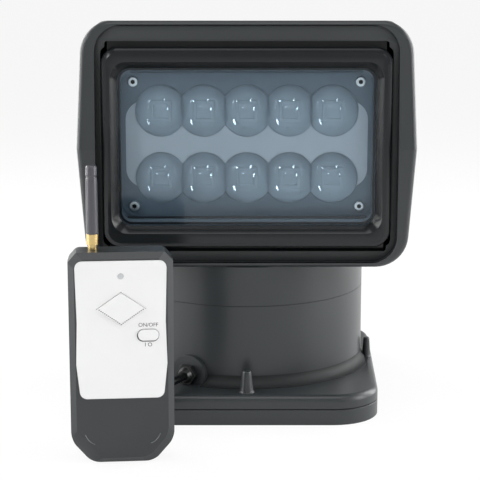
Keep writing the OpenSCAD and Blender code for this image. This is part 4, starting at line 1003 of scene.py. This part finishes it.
# Handset screws
# Four small stainless screws with hexagon sockets close the handset from behind. Their heads lie
# in counterbores near the corners.
hand_back_seat = 8.6
hand_screw_x = 20.25
hand_screw_heights = (18, hand_h - 12)
facing_back = Matrix.Rotation(math.radians(-90), 4, "X")
hand_screws = joined_copies(
    socket_screw(head_r=2.7, head_h=1.6, socket_r=1.5, shank_r=1.25, shank_l=hand_back_seat + 5.5),
    "handset_screws_finished",
    [hand_place @ Matrix.Translation(Vector((x, hand_back_seat, z)) * MM) @ facing_back
     for x in (-hand_screw_x, hand_screw_x) for z in hand_screw_heights])
keep(hand_screws, "handset_screws_finished", "handset", "steel", stainless, "handset_screws")

# Handset panel and keys
# A white moulded panel is let into the front and frames a round-cornered power button, a diamond
# direction pad and a grey indicator.
# White ABS is moulded smooth, the indicator's smoked cap is clearer and glossier, and the ink is dull
panel_white = moulded_plastic("white_panel", "#e9e9e9", "#efefef", 0.3)
moulding("handset_panel", "white_panel", panel_white, 0.2)
moulding("power_button", "white_panel", panel_white, 0.4)
moulding("direction_pad", "white_panel", panel_white, 0.3)
indicator_grey = moulded_plastic("smoked_indicator", "#bcbfc1", "#c8cbcd", 0.2)
moulding("indicator", "indicator", indicator_grey, 0.2)
panel_face = hand_face - 0.3
key_face = panel_face - 1
button_x = 14.2
button_z = hand_h - 44.3
# Dark dull ink for the print; the same colour also serves as painted shadow round the keys.
print_and_shadow_ink = moulded_plastic("dark_print_and_painted_shadow", "#303234", "#3a3c3e", 0.5)


def printed(text, name, x, z, size):
    """A printed word on the handset's panel, as a thin raised mesh."""
    deselect()
    bpy.ops.object.text_add()
    word = bpy.context.object
    word.data.body = text
    word.data.size = size * MM
    word.data.align_x = "CENTER"
    word.data.align_y = "CENTER"
    word.data.extrude = 0.02 * MM
    bpy.ops.object.convert(target="MESH")
    word = bpy.context.object
    word.data.transform(
        hand_place @ Matrix.Translation(Vector((x, panel_face - 0.01, z)) * MM) @ facing_front)
    keep(word, name, "handset", "black_plastic", print_and_shadow_ink)


print_step = 5.4
printed("ON/OFF", "switch_word", button_x, button_z + print_step, size=2.9)
printed("I O", "switch_mark", button_x, button_z - print_step, size=3)

# Key edges
# A dark ring round the power button, set a little low so that it shows most below it, is a painted shadow
# gap, and a row of fine dark dots along the lower two edges of the direction pad is painted shadow in its
# groove.
# A dark ring set a little down and left of the button: painted shadow in the gap round it.
shadow_ring_r = 3.4
shadow_ring_stretch = 2.5
shadow_ring_edge = 0.25
shadow_ring_crown = 0.06
shadow_ring_middle = Vector((button_x - 0.2, panel_face, button_z - 0.3))
deselect()
bpy.ops.mesh.primitive_cylinder_add(vertices=48, radius=shadow_ring_r * MM, depth=0.1 * MM)
shadow_ring = bpy.context.object
for point in shadow_ring.data.vertices:
    point.co.x += math.copysign(shadow_ring_stretch * MM, point.co.x)
pick(shadow_ring, "FACE", lambda middle, normal: normal.z > 0.9)
bpy.ops.mesh.inset(thickness=shadow_ring_edge * MM)
bpy.ops.transform.translate(value=(0, 0, shadow_ring_crown * MM))
bpy.ops.object.mode_set(mode="OBJECT")
shadow_ring.data.transform(hand_place @ Matrix.Translation(shadow_ring_middle * MM) @ facing_front)
smooth_off(shadow_ring)
keep(shadow_ring, "button_shadow_ring", "handset", "rubber", print_and_shadow_ink)

# Fine dark dots along the pad's lower edges: painted shadow in the groove round the pad.
pad_z = hand_h - 30
pad_half = Vector((13, 9))
dots_per_side = 12
dot_r = 0.33
dot_inset = 0.9
corner_room = 1.5
dot_places = []
for i in range(-dots_per_side, dots_per_side + 1):
    t = i / (dots_per_side + corner_room)
    spot = Vector((t * pad_half.x, key_face, pad_z - (1 - abs(t)) * pad_half.y + dot_inset))
    dot_places.append(hand_place @ Matrix.Translation(spot * MM) @ facing_front)
deselect()
bpy.ops.mesh.primitive_cylinder_add(vertices=12, radius=dot_r * MM, depth=0.1 * MM)
dot = bpy.context.object
round_edges(dot, 0.03, 2)
smooth_off(dot)
dots = joined_copies(dot, "pad_dots", dot_places)
keep(dots, "pad_dots", "direction_key", "black_plastic", print_and_shadow_ink)

# Inside the handset
# A printed board under the keys and a rechargeable cell behind a door in the back. The cell has a
# smooth blue wrap of shrink film.
dress("handset_board", circuit)
cell_wrap = moulded_plastic("blue_cell_wrap", "#2a4a78", "#33568a", 0.35)
dress("battery", cell_wrap)

# Antenna
# A turned brass collar screws into the top of the handset and carries a stub antenna in a smooth
# black rubber sleeve with a faint gloss.
moulding("antenna_collar", "brass", brass, 0.12)
antenna_rubber = moulded_plastic("antenna_sleeve_rubber", "#46464b", "#4e4e53", 0.22)
moulding("antenna_sleeve", "antenna", antenna_rubber, 0.2)
